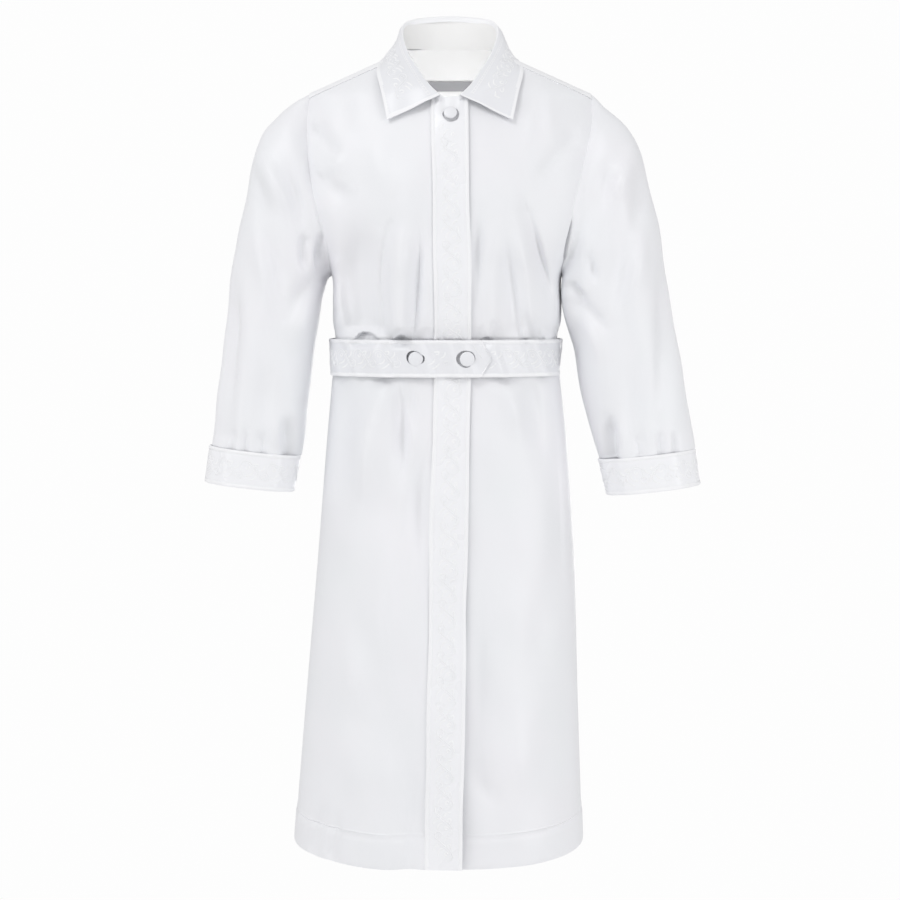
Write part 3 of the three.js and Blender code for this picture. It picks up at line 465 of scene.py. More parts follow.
def make_mesh(name, points, faces, look, uvs):
    """A smooth mesh of faces, as lists of indices, from points and cloth measures in mm."""
    mesh = bpy.data.meshes.new(name)
    mesh.from_pydata((points * MM).tolist(), [], faces)
    layer = mesh.uv_layers.new(name="cloth")
    corners = np.empty(len(mesh.loops), dtype=np.int32)
    mesh.loops.foreach_get("vertex_index", corners)
    layer.data.foreach_set("uv", (uvs[corners] * MM).ravel())
    mesh.polygons.foreach_set("use_smooth", [True] * len(mesh.polygons))
    mesh.materials.append(look.material)
    mesh.update()
    return add_object(name, mesh)


CRISP = 50.0         # edges that turn by more degrees than this stay crisp


def mark_rims(obj):
    """Cut edges stay crisp; the rest is smooth."""
    obj.data.set_sharp_from_angle(angle=math.radians(CRISP))


def grid_cells(rows, cols, wraps=False):
    """The row and column of every cell of a grid of points, and the cell's corners."""
    r, c = np.indices((rows - 1, cols if wraps else cols - 1)).reshape(2, -1)
    after = (c + 1) % cols
    return r, c, np.stack([r * cols + c, r * cols + after, (r + 1) * cols + after,
                           (r + 1) * cols + c], axis=1)


def shell(name, outer, normals, wall, look, uvs, wraps=False, has=None, inside=None, edges=None):
    """A closed thin shell: a grid of outer points, the same moved in, and its rims.

    has says which cells of the grid are there, inside is the look of the inner face, and edges
    is a look and which cells of the outer face have it."""
    rows, cols = outer.shape[:2]
    r, c, quads = grid_cells(rows, cols, wraps)
    if has is not None:
        kept = has(r, c)
        r, c, quads = r[kept], c[kept], quads[kept]
    far = rows * cols
    starts, ends = quads.ravel(), np.roll(quads, -1, axis=1).ravel()
    there, back = starts * far + ends, ends * far + starts
    rim = ~np.isin(there, back)
    sides = np.stack([starts[rim], starts[rim] + far, ends[rim] + far, ends[rim]], axis=1)
    faces = np.concatenate([quads, quads[:, ::-1] + far, sides])
    used, faces = np.unique(faces, return_inverse=True)
    faces = faces.reshape(-1, 4)
    points = np.concatenate([outer, outer - normals * wall]).reshape(-1, 3)[used]
    # faces turned so that the outer side looks out
    a, b, d = points[faces[0, [0, 1, 3]]]
    if np.dot(np.cross(b - a, d - a), normals[r[0], c[0]]) < 0:
        faces = faces[:, ::-1]
    obj = make_mesh(f"{name}_cloth", points, faces.tolist(), look,
                    np.concatenate([uvs, uvs]).reshape(-1, 2)[used])
    looks = np.zeros(len(faces), dtype=np.int32)
    if inside:
        looks[len(quads):2 * len(quads)] = len(obj.data.materials)
        obj.data.materials.append(inside.material)
    if edges:
        edge_look, is_edge = edges
        looks[:len(quads)][is_edge(r, c)] = len(obj.data.materials)
        obj.data.materials.append(edge_look.material)
    obj.data.polygons.foreach_set("material_index", looks)
    mark_rims(obj)
    return obj


# ---- materials --------------------------------------------------------------------------------
class Field:
    """A value that varies over a surface. Sums, products and so on add shader nodes."""

    def __init__(self, look, socket):
        self.look, self.socket = look, socket

    def _math(self, kind, *values):
        node = self.look.node("ShaderNodeMath", {"operation": kind})
        for socket, value in zip(node.inputs, values):
            self.look.feed(socket, value)
        return Field(self.look, node.outputs[0])

    def __add__(self, other):
        return self._math("ADD", self, other)

    def __radd__(self, other):
        return self._math("ADD", other, self)

    def __sub__(self, other):
        return self._math("SUBTRACT", self, other)

    def __rsub__(self, other):
        return self._math("SUBTRACT", other, self)

    def __mul__(self, other):
        return self._math("MULTIPLY", self, other)

    def __rmul__(self, other):
        return self._math("MULTIPLY", other, self)

    def sine(self):
        return self._math("SINE", self)


class Nodes:
    """A tree of shader nodes."""

    def __init__(self, tree):
        self.tree = tree

    def node(self, kind, settings=None, inputs=None):
        """A new node, its settings first and then the values or links of its sockets."""
        node = self.tree.nodes.new(kind)
        for key, value in (settings or {}).items():
            setattr(node, key, value)
        for key, value in (inputs or {}).items():
            self.feed(node.inputs[key], value)
        return node

    def feed(self, socket, value):
        if isinstance(value, Field):
            self.tree.links.new(value.socket, socket)
        else:
            socket.default_value = value

    def field(self, kind, settings=None, inputs=None, output=0):
        """One output of a new node."""
        return Field(self, self.node(kind, settings, inputs).outputs[output])


class Look(Nodes):
    """One procedural material: a principled shader and the nodes that feed it."""

    def __init__(self, name, **constants):
        self.material = bpy.data.materials.new(name)
        self.material.use_nodes = True
        super().__init__(self.material.node_tree)
        self.shader = self.tree.nodes["Principled BSDF"]
        for socket, value in constants.items():
            self.shader.inputs[socket.replace("_", " ")].default_value = value

    def uv(self):
        """The cloth's own crosswise and lengthwise measure, in metres."""
        cloth = self.field("ShaderNodeUVMap", {"uv_map": "cloth"})
        split = self.node("ShaderNodeSeparateXYZ", inputs={0: cloth})
        return Field(self, split.outputs[0]), Field(self, split.outputs[1])

    def noise(self, scale):
        place = self.field("ShaderNodeTexCoord", output="Object")
        return self.field("ShaderNodeTexNoise", inputs={
            "Vector": place, "Scale": scale, "Detail": 3.0, "Roughness": 0.5})

    def mix(self, share, a, b):
        return self.field("ShaderNodeMix", {"data_type": "RGBA"},
                          {0: share, 6: (*a, 1.0), 7: (*b, 1.0)}, output=2)

    def bump(self, height, strength, distance):
        self.feed(self.shader.inputs["Normal"], self.field("ShaderNodeBump", inputs={
            "Height": height, "Strength": strength, "Distance": distance}))


FUZZ_SCALE, MOTTLE_SCALE = 900.0, 7.0    # how fine the fuzz is, and how fine the uneven tone
THREAD_SHARE, FUZZ_SHARE = 0.5, 0.6      # how much of the bump each makes
MOTTLE_SPREAD, MOTTLE_DROP = 1.4, 0.2    # these widen the range of the uneven tone
THREAD_HEIGHT = 0.0004    # the bump of a thread, in metres
ROUGH_RANGE = 0.08        # how much the gloss varies with the tone


def woven(name, tone, shade, rough, pitch=0.0007, weave=0.12, sheen=0.08):
    """Plain woven cloth: threads crossing at a pitch in metres, a little fuzz and uneven tone."""
    look = Look(name, Sheen_Weight=sheen, Sheen_Roughness=0.4, Specular_IOR_Level=0.5)
    across, along = look.uv()
    turn = 2 * math.pi / pitch
    threads = (across * turn).sine() * (along * turn).sine()
    look.bump(threads * THREAD_SHARE + look.noise(FUZZ_SCALE) * FUZZ_SHARE, weave, THREAD_HEIGHT)
    mottle = look.noise(MOTTLE_SCALE) * MOTTLE_SPREAD - MOTTLE_DROP
    look.feed(look.shader.inputs["Base Color"], look.mix(mottle, tone, shade))
    look.feed(look.shader.inputs["Roughness"], mottle * ROUGH_RANGE + (rough - ROUGH_RANGE / 2))
    return look


cloth_look = woven("white cotton", (0.878, 0.872, 0.904), (0.848, 0.864, 0.886), 0.43)
inner_look = woven("white cotton, inner side", (0.88, 0.878, 0.872), (0.86, 0.858, 0.852), 0.62)
satin_look = woven("white satin band", (0.845, 0.847, 0.880), (0.808, 0.820, 0.848), 0.30,
                   pitch=0.0009, weave=0.10)
# A lighter copy of the satin band for the placket and cuffs; its extra lightness over the white
# satin band is a painted sheen.
satin_painted_sheen_look = woven("white satin with painted sheen", (0.910, 0.912, 0.938), (0.880, 0.888, 0.914),
                          0.28, pitch=0.0009, weave=0.10)
# The welts' look is whiter than the bands' satin: partly the stitched welt's own tone, partly a
# painted sheen highlight along the bands' edges.
welt_sheen_look = woven("white stitched welt, painted sheen", (0.925, 0.926, 0.945), (0.90, 0.903, 0.925), 0.45,
                  pitch=0.0012, weave=0.16)
thread_look = woven("white embroidery thread", (0.925, 0.927, 0.945), (0.91, 0.915, 0.93), 0.34,
                    pitch=0.0011, weave=0.2, sheen=0.0)
tape_look = woven("grey woven tape", (0.34, 0.34, 0.355), (0.30, 0.30, 0.31), 0.6,
                  pitch=0.0012, weave=0.3)


# ---- fronts and back --------------------------------------------------------------------------
# Columns of points in the lap, along the neck and along the shoulder, and behind the neck.
LAP_COLS, NECK_COLS, SHOULDER_COLS, BACK_NECK_COLS = 14, 36, 45, 30
ARM_ROWS, OVER_ROWS = 54, 6    # rows beside the armhole, and in the back's part over the shoulder
ARM_SPREAD = 1.35    # the rows beside the armhole are closer together at its foot
SEAM_ANGLE = 76.0    # where the shoulder seam meets the neck seam
BEYOND_LAP = NECK_COLS + SHOULDER_COLS
LAP_TOP = -60.0      # height of the fronts' top where they lap
# Rows from the hem to the underarm, close together at the hem, its stitches and the belt.
SKIRT_LEVELS = np.concatenate([
    HEM["side"] + np.array([0, 1.2, 3, 6]), np.arange(HEM["side"] + 10, HEM["side"] + 44, 6),
    HEM["side"] + HEM_TURN + np.array([-4, -2, -0.8, 0.8, 2, 4]),
    np.arange(HEM["side"] + 60, -470, 7), np.arange(-468, -412, 4), np.arange(-412, -384, 1.6),
    np.arange(-384, UNDERARM + 1, 4)])


def free_edge(z):
    return read(FREE_EDGE, "x", z)


def panel_levels(top_z):
    """Heights of a panel's rows, from the hem to just under the end of the shoulder."""
    beside_arm = (np.arange(1, ARM_ROWS) / ARM_ROWS) ** ARM_SPREAD
    return np.concatenate([SKIRT_LEVELS, UNDERARM + (top_z - UNDERARM) * beside_arm])


def panel_rows(face, side, levels, start, k, top_x, top_z):
    """x and z of a panel's rows. k is 0 at start, the x where they begin, and 1 at the side."""
    rise = np.clip((levels - UNDERARM) / (top_z[-1] - UNDERARM), 0, 1)[:, None]
    side_x = np.where(levels > UNDERARM, read(ARMHOLE, side, levels), edge_x(side, levels))
    dip = lerp(HEM[face] - HEM["side"], 0,
               np.clip((levels - HEM["side"]) / HEM_FADE, 0, 1))[:, None]
    x = start + (side_x[:, None] - start) * k
    lean = np.repeat(rise * rise, x.shape[1], axis=1)
    lean[:, -1] = 0
    z = np.where(rise > 0, UNDERARM + (top_z[None, :] - UNDERARM) * rise,
                 levels[:, None] + dip * np.sqrt(np.maximum(1 - k * k, 0)))
    return lerp(x, top_x[None, :], lean), z


def lap_columns(side, z):
    """x of the columns in the lap of the two fronts, from the panel's own edge inward."""
    z = np.asarray(z, float)
    edges = free_edge(z)[..., None] - BAND * np.linspace(0, 1, LAP_COLS + 1)
    return edges if side == "left" else edges[..., ::-1]


def front_top(side):
    """The top edge of a front, from the free edge by the neck to the armhole."""
    lap_x = lap_columns(side, LAP_TOP)
    lap_angle = np.degrees(np.arcsin(lap_x / NECK_HALF))
    start = abs(lap_angle[-1])
    neck_x, neck_z = neck_xz(SIGN[side] * lerp(start, SEAM_ANGLE,
                                               np.arange(1, NECK_COLS + 1) / NECK_COLS))
    t = np.arange(1, SHOULDER_COLS + 1) / SHOULDER_COLS
    end = SHOULDER_X[side]
    x = np.concatenate([lap_x, neck_x, lerp(neck_x[-1], end, t)])
    z = np.concatenate([neck_xz(lap_angle)[1], neck_z,
                        lerp(neck_z[-1], ridge_z(end) - SEAM_FORWARD, t)])
    return x, z


def front_grid(side):
    """x and z of every point of a front panel, from the hem up and from its free edge out."""
    top_x, top_z = front_top(side)
    levels = panel_levels(top_z[-1])
    share = np.arange(1, BEYOND_LAP + 1) / BEYOND_LAP
    k = np.concatenate([np.zeros(LAP_COLS + 1), np.sin(np.pi / 2 * share)])[None, :]
    start = lap_columns(side, levels)
    start = np.concatenate([start, np.repeat(start[:, -1:], BEYOND_LAP, axis=1)], axis=1)
    x, z = panel_rows("front", side, levels, start, k, top_x, top_z)
    return np.vstack([x, top_x]), np.vstack([z, top_z])


def back_half(side):
    """x, z and over (0 on the back, 1 in front of the ridge), from the middle to one side."""
    half = BACK_NECK_COLS + SHOULDER_COLS
    sign, end = SIGN[side], SHOULDER_X[side]
    i = np.arange(half + 1)
    neck_x, neck_z = neck_xz(sign * lerp(180.0, 90.0, i / BACK_NECK_COLS))
    shoulder_x = lerp(sign * NECK_HALF, end, (i - BACK_NECK_COLS) / SHOULDER_COLS)
    top_x = np.where(i <= BACK_NECK_COLS, neck_x, shoulder_x)
    top_z = np.where(i <= BACK_NECK_COLS, neck_z, ridge_z(shoulder_x))
    top_x[0] = 0
    levels = panel_levels(top_z[-1])
    k = np.sin(np.pi / 2 * i / half)[None, :]
    x, z = panel_rows("back", side, levels, middle_x(levels)[:, None], k, top_x, top_z)
    over = np.zeros(x.shape)
    seam_x0, seam_z0 = neck_xz(sign * SEAM_ANGLE)
    across = np.clip((i - BACK_NECK_COLS) / SHOULDER_COLS, 0, 1)
    seam_x = lerp(seam_x0, end, across)
    seam_z = lerp(seam_z0, ridge_z(end) - SEAM_FORWARD, across) + SEAM
    rows = [(top_x, top_z, 0 * top_x)]
    for step in range(1, OVER_ROWS + 1):
        t = np.where(i < BACK_NECK_COLS, 0, step / OVER_ROWS)
        rows.append((lerp(top_x, seam_x, t), lerp(top_z, seam_z, t), 1.0 * (t > 0)))
    return tuple(np.vstack([part, *(row[n] for row in rows)])
                 for n, part in enumerate((x, z, over)))


def back_grid():
    """x, z and over for the whole back, from one side to the other."""
    left, right = back_half("left"), back_half("right")
    return tuple(np.hstack([a[:, :0:-1], b]) for a, b in zip(left, right))


def panel_points(face, x, z, lift=0.0, over=None):
    """Points on the cloth at x and z, with their normals, moved out by a lift.

    over marks the back's points that lie in front of the shoulders' ridge."""
    points, normals = cloth_place(face, x, z)
    if over is not None:
        in_front = over[..., None] > 0
        front_points, front_normals = cloth_place("front", x, z)
        points = np.where(in_front, front_points, points)
        normals = np.where(in_front, front_normals, normals)
    return points + normals * np.asarray(lift)[..., None], normals


def straighten_sides(points, normals, face, edge_cols):
    """Below the underarm the side seams' edges point straight out, a seam's gap apart."""
    rows = len(SKIRT_LEVELS)
    for col in edge_cols:
        normals[:rows, col, 1] = 0
        normals[:rows, col] = unit(normals[:rows, col])
        points[:rows, col, 1] += FACES[face]["sign"] * SEAM / 2


def cloth_uvs(x, z):
    """The cloth's own measure: across by x, lengthwise by z."""
    return np.stack([x, z], axis=-1)


HEM_THICK = {"depth": 1.6, "ramp": 1.5}    # what the turned-up cloth adds
HEM_STITCH = {"depth": 2.0, "under": 3.5, "width": 1.7}    # the stitched line sinks in
HEM_EDGE = {"depth": 0.4, "width": 2.0}    # the hem is a little thinner at its edge


def hem_relief(z):
    """The turned-up hem is thicker below its stitched line, which sinks in."""
    up = z - z[0][None, :]
    return (HEM_THICK["depth"] * soft((HEM_TURN - up) / HEM_THICK["ramp"])
            - HEM_STITCH["depth"] * bell(up - HEM_TURN + HEM_STITCH["under"],
                                         HEM_STITCH["width"])
            - HEM_EDGE["depth"] * bell(up, HEM_EDGE["width"]))


def edge_lift(x, z):
    """The lower part of the upper front's free edge stands off the under front."""
    inward = np.clip((free_edge(z) - x) / BAND, 0, 1)
    return EDGE_STANDS * soft((EDGE_FROM - z) / EDGE_RUN) * (1 - EDGE_FALL * inward)


# The share of the upper front's lift that is left, by ninths of its width beyond the lap.
LAP_FALL = table("ninths lift", (0, 1), (1, 0.75), (2, 0.4), (3, 0.15), (4, 0))


def front_panel(name, side, on_top):
    """A front, from its free edge to the side seam; one of the two laps on top."""
    x, z = front_grid(side)
    ninths = np.maximum(np.arange(x.shape[1]) - LAP_COLS, 0) * 9 / BEYOND_LAP
    fall = np.interp(ninths, LAP_FALL["ninths"], LAP_FALL["lift"])[None, :]
    lift = hem_relief(z)
    if on_top:
        lift = lift + (LAP_LIFT + edge_lift(x, z)) * fall
    points, normals = panel_points("front", x, z, lift)
    straighten_sides(points, normals, "front", [-1])
    return shell(name, points, normals, CLOTH, cloth_look, cloth_uvs(x, z))


SEAM_BEAD = 0.7      # the shoulder seam's edge stands out this far


def back_panel():
    """The back, with a strip on each side that reaches over the shoulder to the front's seam,
    lightened there as a painted highlight.
    """
    x, z, over = back_grid()
    lift = hem_relief(z) * (over == 0) + SEAM_BEAD * (over > 0)
    points, normals = panel_points("back", x, z, lift, over)
    straighten_sides(points, normals, "back", [0, -1])
    half = BACK_NECK_COLS + SHOULDER_COLS
    last = x.shape[0] - 1 - OVER_ROWS

    def has(r, c):
        out = np.where(c < half, half - 1 - c, c - half)
        return (r < last) | (out >= BACK_NECK_COLS)

    # The strip over each shoulder takes the welts' whiter look: a painted highlight along the tops
    # of the shoulders.
    return shell("back", points, normals, CLOTH, cloth_look, cloth_uvs(x, z), has=has,
                 inside=inner_look, edges=(welt_sheen_look, lambda r, c: r >= last))


front_right = front_panel("front_right", "left", True)
front_left = front_panel("front_left", "right", False)
back = back_panel()


# ---- sleeves and cuffs ------------------------------------------------------------------------
SLEEVE_ROWS, CUFF_COLS = 120, 120


def armhole_loop(side):
    """The armhole's edge, from the ridge down the front and up the back."""
    first = len(SKIRT_LEVELS) - 1
    x, z = front_grid(side)
    front = panel_points("front", x[first:], z[first:])[0][:, -1]
    bx, bz, over = back_grid()
    col = 0 if side == "left" else -1
    behind = panel_points("back", bx[first:], bz[first:], 0.0, over[first:])[0][:, col]
    ridge = len(behind) - 1 - OVER_ROWS
    loop = np.concatenate([behind[ridge:ridge + OVER_ROWS], front[::-1], behind[1:ridge]])
    return loop + np.array([SIGN[side] * SEAM, 0, 0])


def loop_angles(loop):
    """The angles of the armhole's points: 0 at the ridge, 90 degrees in front."""
    top, bottom = loop[0, 2], loop[:, 2].min()
    angle = np.arccos(np.clip(1 - 2 * (top - loop[:, 2]) / (top - bottom), -1, 1))
    return np.where(loop[:, 1] <= 0, angle, 2 * np.pi - angle)


INNER_SQUARE = 0.66  # a sleeve's inner side is squarer than its outer one


def ring_points(rings, row, sign, angle):
    """Points of a sleeve ring: angle 0 is its outer end, 90 degrees its front."""
    ring = {name: values[row] for name, values in rings.items()}
    c = np.cos(angle)
    c = np.where(c < 0, -np.abs(c) ** INNER_SQUARE, c)
    x = (ring["out_x"] + ring["in_x"]) / 2 + c * (ring["out_x"] - ring["in_x"]) / 2
    z = (ring["out_z"] + ring["in_z"]) / 2 + c * (ring["out_z"] - ring["in_z"]) / 2
    return stack(sign * x, ring["y"] - ring["depth"] * np.sin(angle), z)


def spline(points, share):
    """A centripetal Catmull-Rom curve through each column of points, (points, lines, 3)."""
    first, last = 2 * points[0] - points[1], 2 * points[-1] - points[-2]
    knots = np.concatenate([first[None], points, last[None]])
    place = share * (len(points) - 1)
    i = np.minimum(place.astype(int), len(points) - 2)
    t = (place - i)[:, None, None]
    p0, p1, p2, p3 = (knots[i + k] for k in range(4))
    reach = [np.maximum(np.linalg.norm(b - a, axis=-1, keepdims=True), 1e-3) ** 0.5
             for a, b in ((p0, p1), (p1, p2), (p2, p3))]
    d0, d1, d2 = reach
    m1 = ((p1 - p0) / d0 - (p2 - p0) / (d0 + d1) + (p2 - p1) / d1) * d1
    m2 = ((p2 - p1) / d1 - (p3 - p1) / (d1 + d2) + (p3 - p2) / d2) * d1
    return (p1 + m1 * t + (3 * (p2 - p1) - 2 * m1 - m2) * t ** 2
            + (2 * (p1 - p2) + m1 + m2) * t ** 3)


# Folds of the sleeves, front and back alike.
SLEEVE_FOLDS = {
    "right": {
        "outer hollow": (-312, -280, -320, -400, -325, -540, 15, -7.0, 0.0, 0.7, 0.2),
        "shoulder ridge": (-272, -140, -246, -186, -224, -236, 14, 6.0, 0.3, 0.0, 0.2),
        "shoulder trough": (-238, -140, -222, -200, -210, -262, 15, -5.5, 0.0, 0.3, 0.0),
        "outer trough": (-284, -150, -276, -190, -262, -250, 12, -4.0, 0.0, 0.0, 0.0),
        "lower ridge": (-290, -214, -270, -300, -250, -392, 11, 4.4, 0.2, 0.0, 0.2),
        "lower trough": (-266, -232, -250, -300, -240, -372, 12, -4.4, 0.0, 0.2, 0.0),
        "crease a": (-209, -262, -211, -284, -207, -318, 7, -6.0, 0.6, 0.0, 0.0),
        "crease b": (-185, -258, -188, -284, -184, -316, 6, -6.5, 0.6, 0.3, 0.0),
        "elbow drag": (-200, -322, -218, -348, -242, -394, 12, -4.6, 0.6, 0.0, 0.2),
        "elbow ridge": (-196, -345, -214, -380, -224, -430, 12, 3.4, 0.3, 0.0, 0.0),
        "fore hollow": (-262, -430, -268, -490, -270, -550, 13, -3.4, 0.0, 0.4, 0.0),
        "inner trough": (-238, -506, -234, -543, -231, -572, 11, -7.5, 0.0, 1.0, 0.2),
        "inner ridge": (-252, -500, -252, -540, -250, -566, 9, 4.0, 0.0, 0.5, 0.0),
        "cuff pucker a": (-272, -568, -272, -550, -271, -530, 5, -3.0, 1.0, 0.0, 0.0),
        "cuff pucker b": (-298, -568, -297, -548, -295, -526, 5, -2.8, 1.0, 0.0, 0.0),
        "cuff pucker c": (-318, -566, -316, -548, -315, -530, 4, -2.4, 1.0, 0.0, 0.0),
    },
    "left": {
        "outer hollow": (312, -300, 311, -400, 300, -520, 16, -7.0, 0.2, 0.2, -0.2),
        "shoulder ridge": (262, -132, 248, -172, 234, -218, 14, 6.0, 0.3, 0.0, -0.2),
        "shoulder trough": (232, -130, 222, -180, 214, -244, 14, -5.0, 0.0, 0.3, 0.0),
        "outer trough": (280, -150, 276, -200, 262, -258, 12, -4.0, 0.0, 0.0, 0.0),
        "lower ridge": (284, -226, 268, -300, 252, -386, 12, 4.4, 0.2, 0.0, -0.2),
        "lower trough": (258, -244, 248, -310, 238, -380, 12, -4.2, 0.0, 0.2, 0.0),
        "crease a": (200, -286, 204, -304, 209, -330, 7, -5.4, 0.4, 0.0, 0.0),
        "crease b": (180, -328, 186, -338, 196, -350, 6, -4.4, 0.8, 0.0, 0.0),
        "elbow drag": (190, -352, 210, -374, 236, -400, 11, -4.4, 1.0, 0.0, 0.0),
        "elbow ridge": (196, -380, 212, -410, 222, -450, 12, 3.2, 0.3, 0.0, 0.0),
        "fore hollow": (258, -430, 262, -490, 262, -550, 13, -3.4, 0.0, 0.4, 0.0),
        "inner trough": (231, -506, 229, -543, 228, -574, 11, -8.5, 0.0, 1.0, -0.2),
        "inner ridge": (245, -500, 246, -540, 247, -568, 9, 4.0, 0.0, 0.5, 0.0),
        "cuff pucker a": (272, -570, 272, -552, 271, -534, 5, -3.0, 1.0, 0.0, 0.0),
        "cuff pucker b": (306, -568, 305, -550, 303, -532, 5, -2.8, 1.0, 0.0, 0.0),
        "cuff pucker c": (328, -566, 327, -548, 325, -532, 4, -2.4, 1.0, 0.0, 0.0),
    },
}
SLEEVE_STRENGTH = 1.8    # the folds are this many times as deep as their tables say
SLEEVE_LOOSE = 0.9       # and the cloth between them is this uneven,
SLEEVE_WAVES = {"x": 1.4, "z": 1.2, "seed": 5.1}    # in waves closer together than the body's
SLEEVE_FLAT = 1.6        # the folds fade out where the sleeve turns away to its sides
SLEEVE_HELD = 0.06       # share of the sleeve over which its seam holds the folds flat
SLEEVE_CLOTH = 560.0     # length of the sleeve's cloth
# The rings are closer together at the sleeve's ends: shares of its length.
SLEEVE_SHARES = np.concatenate([[0, 0.002, 0.005, 0.009, 0.014],
                                np.linspace(0.02, 0.985, SLEEVE_ROWS), [0.99, 0.994, 0.997, 1.0]])
# A sleeve's head is turned in under the panel's edge, its first ring lies further under, and its
# lower end is turned in under the cuff.
ARM_TUCK = {"depth": 0.2, "share": 0.004, "first": 1.6}
CUFF_TUCK = {"depth": 0.45, "share": 0.003}
# Under each arm the sleeve falls back from the armhole's seam: between these heights, this deep,
# and over this distance from the seam.
ARMPITS = {"right": {"top": -200, "bottom": -308, "depth": 2.4},
           "left": {"top": -222, "bottom": -304, "depth": 12.0}}
ARMPIT_REACH = {"from": 6.0, "width": 5.0}
# Between two heights the left sleeve rests against the body: where the stretch that touches is,
# how soft its edge is, and how far it swells inwards and forwards.
TOUCHES = {"bottom": -414, "top": -286, "x": 192.0, "y": -46.0, "soft_x": 20.0, "soft_y": 24.0,
           "blunt": 0.6, "from_seam": 12.0, "swell": np.array([-9.0, -7.0, 0])}


def between(z, place):
    """0 outside a place's heights, swelling to 1 half way between them."""
    share = np.clip((z - place["bottom"]) / (place["top"] - place["bottom"]), 0, 1)
    return np.sin(np.pi * share)


def touching_body(points, far):
    """How far the left sleeve swells where it rests against the body."""
    x, y, z = np.moveaxis(points, -1, 0)
    inner = soft((TOUCHES["x"] - x) / TOUCHES["soft_x"]) * bell(y - TOUCHES["y"], TOUCHES["soft_y"])
    reach = inner * between(z, TOUCHES) ** TOUCHES["blunt"] * soft(far / TOUCHES["from_seam"])
    return TOUCHES["swell"] * reach[..., None]


def sleeve(which):
    """A set-in sleeve, from the armhole to its cuff."""
    side, rings = SLEEVES[which]["side"], SLEEVES[which]["rings"]
    sign = SIGN[side]
    loop = armhole_loop(side)
    angles = loop_angles(loop)
    stations = np.stack([loop] + [ring_points(rings, r, sign, angles)
                                  for r in range(len(rings["y"]))])
    outer = spline(stations, SLEEVE_SHARES)
    normals = grid_normals(outer, sign, True)
    t = SLEEVE_SHARES[:, None]
    facing = np.clip(np.abs(normals[..., 1]) * SLEEVE_FLAT, 0, 1)
    folds = fold_height(SLEEVE_FOLDS[which], outer[..., 0], outer[..., 2])
    loose = unevenness(outer[..., 0] * SLEEVE_WAVES["x"], outer[..., 2] * SLEEVE_WAVES["z"],
                       SLEEVE_WAVES["seed"] + sign)
    tuck = (-ARM_TUCK["depth"] * bell(t, ARM_TUCK["share"])
            - CUFF_TUCK["depth"] * bell(1 - t, CUFF_TUCK["share"]))
    far = run_length(outer)
    armpit = (ARMPITS[which]["depth"] * between(loop[None, :, 2], ARMPITS[which])
              * bell(far - ARMPIT_REACH["from"], ARMPIT_REACH["width"]))
    held = soft(t / SLEEVE_HELD)
    height = (SLEEVE_STRENGTH * facing * held * folds + held * SLEEVE_LOOSE * loose + tuck
              - armpit * (normals[..., 1] < 0))
    outer = outer + normals * height[..., None]
    if which == "left":
        outer += touching_body(outer, far)
    outer[0, :, 0] -= sign * ARM_TUCK["first"]
    outer[-1, :, 2] -= CUFF_TUCK["depth"]
    normals = grid_normals(outer, sign, True)
    head = loop - loop.mean(axis=0)
    head[:, 0] = 0
    normals[0] = unit(head)
    around = np.cumsum(np.linalg.norm(np.roll(loop, -1, axis=0) - loop, axis=1))
    uvs = stack(around[None, :], t * SLEEVE_CLOTH, 0)[..., :2]
    return shell(f"sleeve_{which}", outer, normals, CLOTH, cloth_look, uvs, wraps=True)


sleeve_right, sleeve_left = sleeve("right"), sleeve("left")


# ---- bands and their embroidery ---------------------------------------------------------------
class Strip:
    """A band on a surface: along is in millimetres, places gives each column's across."""

    def __init__(self, grid, normals, places):
        self.grid, self.normals, self.places = grid, normals, places
        middle = grid[:, grid.shape[1] // 2]
        self.reach = run_length(middle)
        self.length = self.reach[-1]

    def at(self, along, across, lift):
        """Points and normals at places along and across, moved out by a lift."""
        rows, cols = self.grid.shape[:2]
        r = np.interp(along, self.reach, np.arange(rows))
        c = np.interp(across, self.places, np.arange(cols))
        r0, c0 = np.minimum(r.astype(int), rows - 2), np.minimum(c.astype(int), cols - 2)
        fr, fc = (r - r0)[..., None], (c - c0)[..., None]

        def blend(a):
            return ((a[r0, c0] * (1 - fc) + a[r0, c0 + 1] * fc) * (1 - fr)
                    + (a[r0 + 1, c0] * (1 - fc) + a[r0 + 1, c0 + 1] * fc) * fr)

        normal = unit(blend(self.normals))
        return blend(self.grid) + normal * np.asarray(lift)[..., None], normal


# A band's columns, closer together over its welts: their places from the middle.
HALF_ACROSS = np.array([4, 8, 12, 16, 19.2, 20.2, 20.9, 21.3, 22.0, 23.0, 24.2, 25.2, 26.1, 26.5])
ACROSS = np.concatenate([-HALF_ACROSS[::-1], [0], HALF_ACROSS])
WELT = 5.2           # width of the welt along each edge of a band
WELT_ROLL = {"height": 0.7, "middle": 2.6, "width": 2.0}
WELT_STITCH = {"depth": 0.25, "beyond": 0.3, "width": 0.8}     # the row that holds it down
BAND_EDGE = {"height": 0.4, "width": 1.2}    # a band thins out at its very edge


def band_relief(across):
    """A lined band with a raised welt along each edge."""
    inside = BAND / 2 - np.abs(across)
    return (BAND_EDGE["height"] * soft(inside / BAND_EDGE["width"])
            + WELT_ROLL["height"] * bell(inside - WELT_ROLL["middle"], WELT_ROLL["width"])
            - WELT_STITCH["depth"] * bell(inside - WELT - WELT_STITCH["beyond"],
                                          WELT_STITCH["width"]))


def welts(places):
    """The look of a band's welts, with its painted sheen highlight, for columns at these places
    across.
    """
    middles = (places[1:] + places[:-1]) / 2
    return welt_sheen_look, lambda r, c: (BAND / 2 - np.abs(middles))[c] < WELT


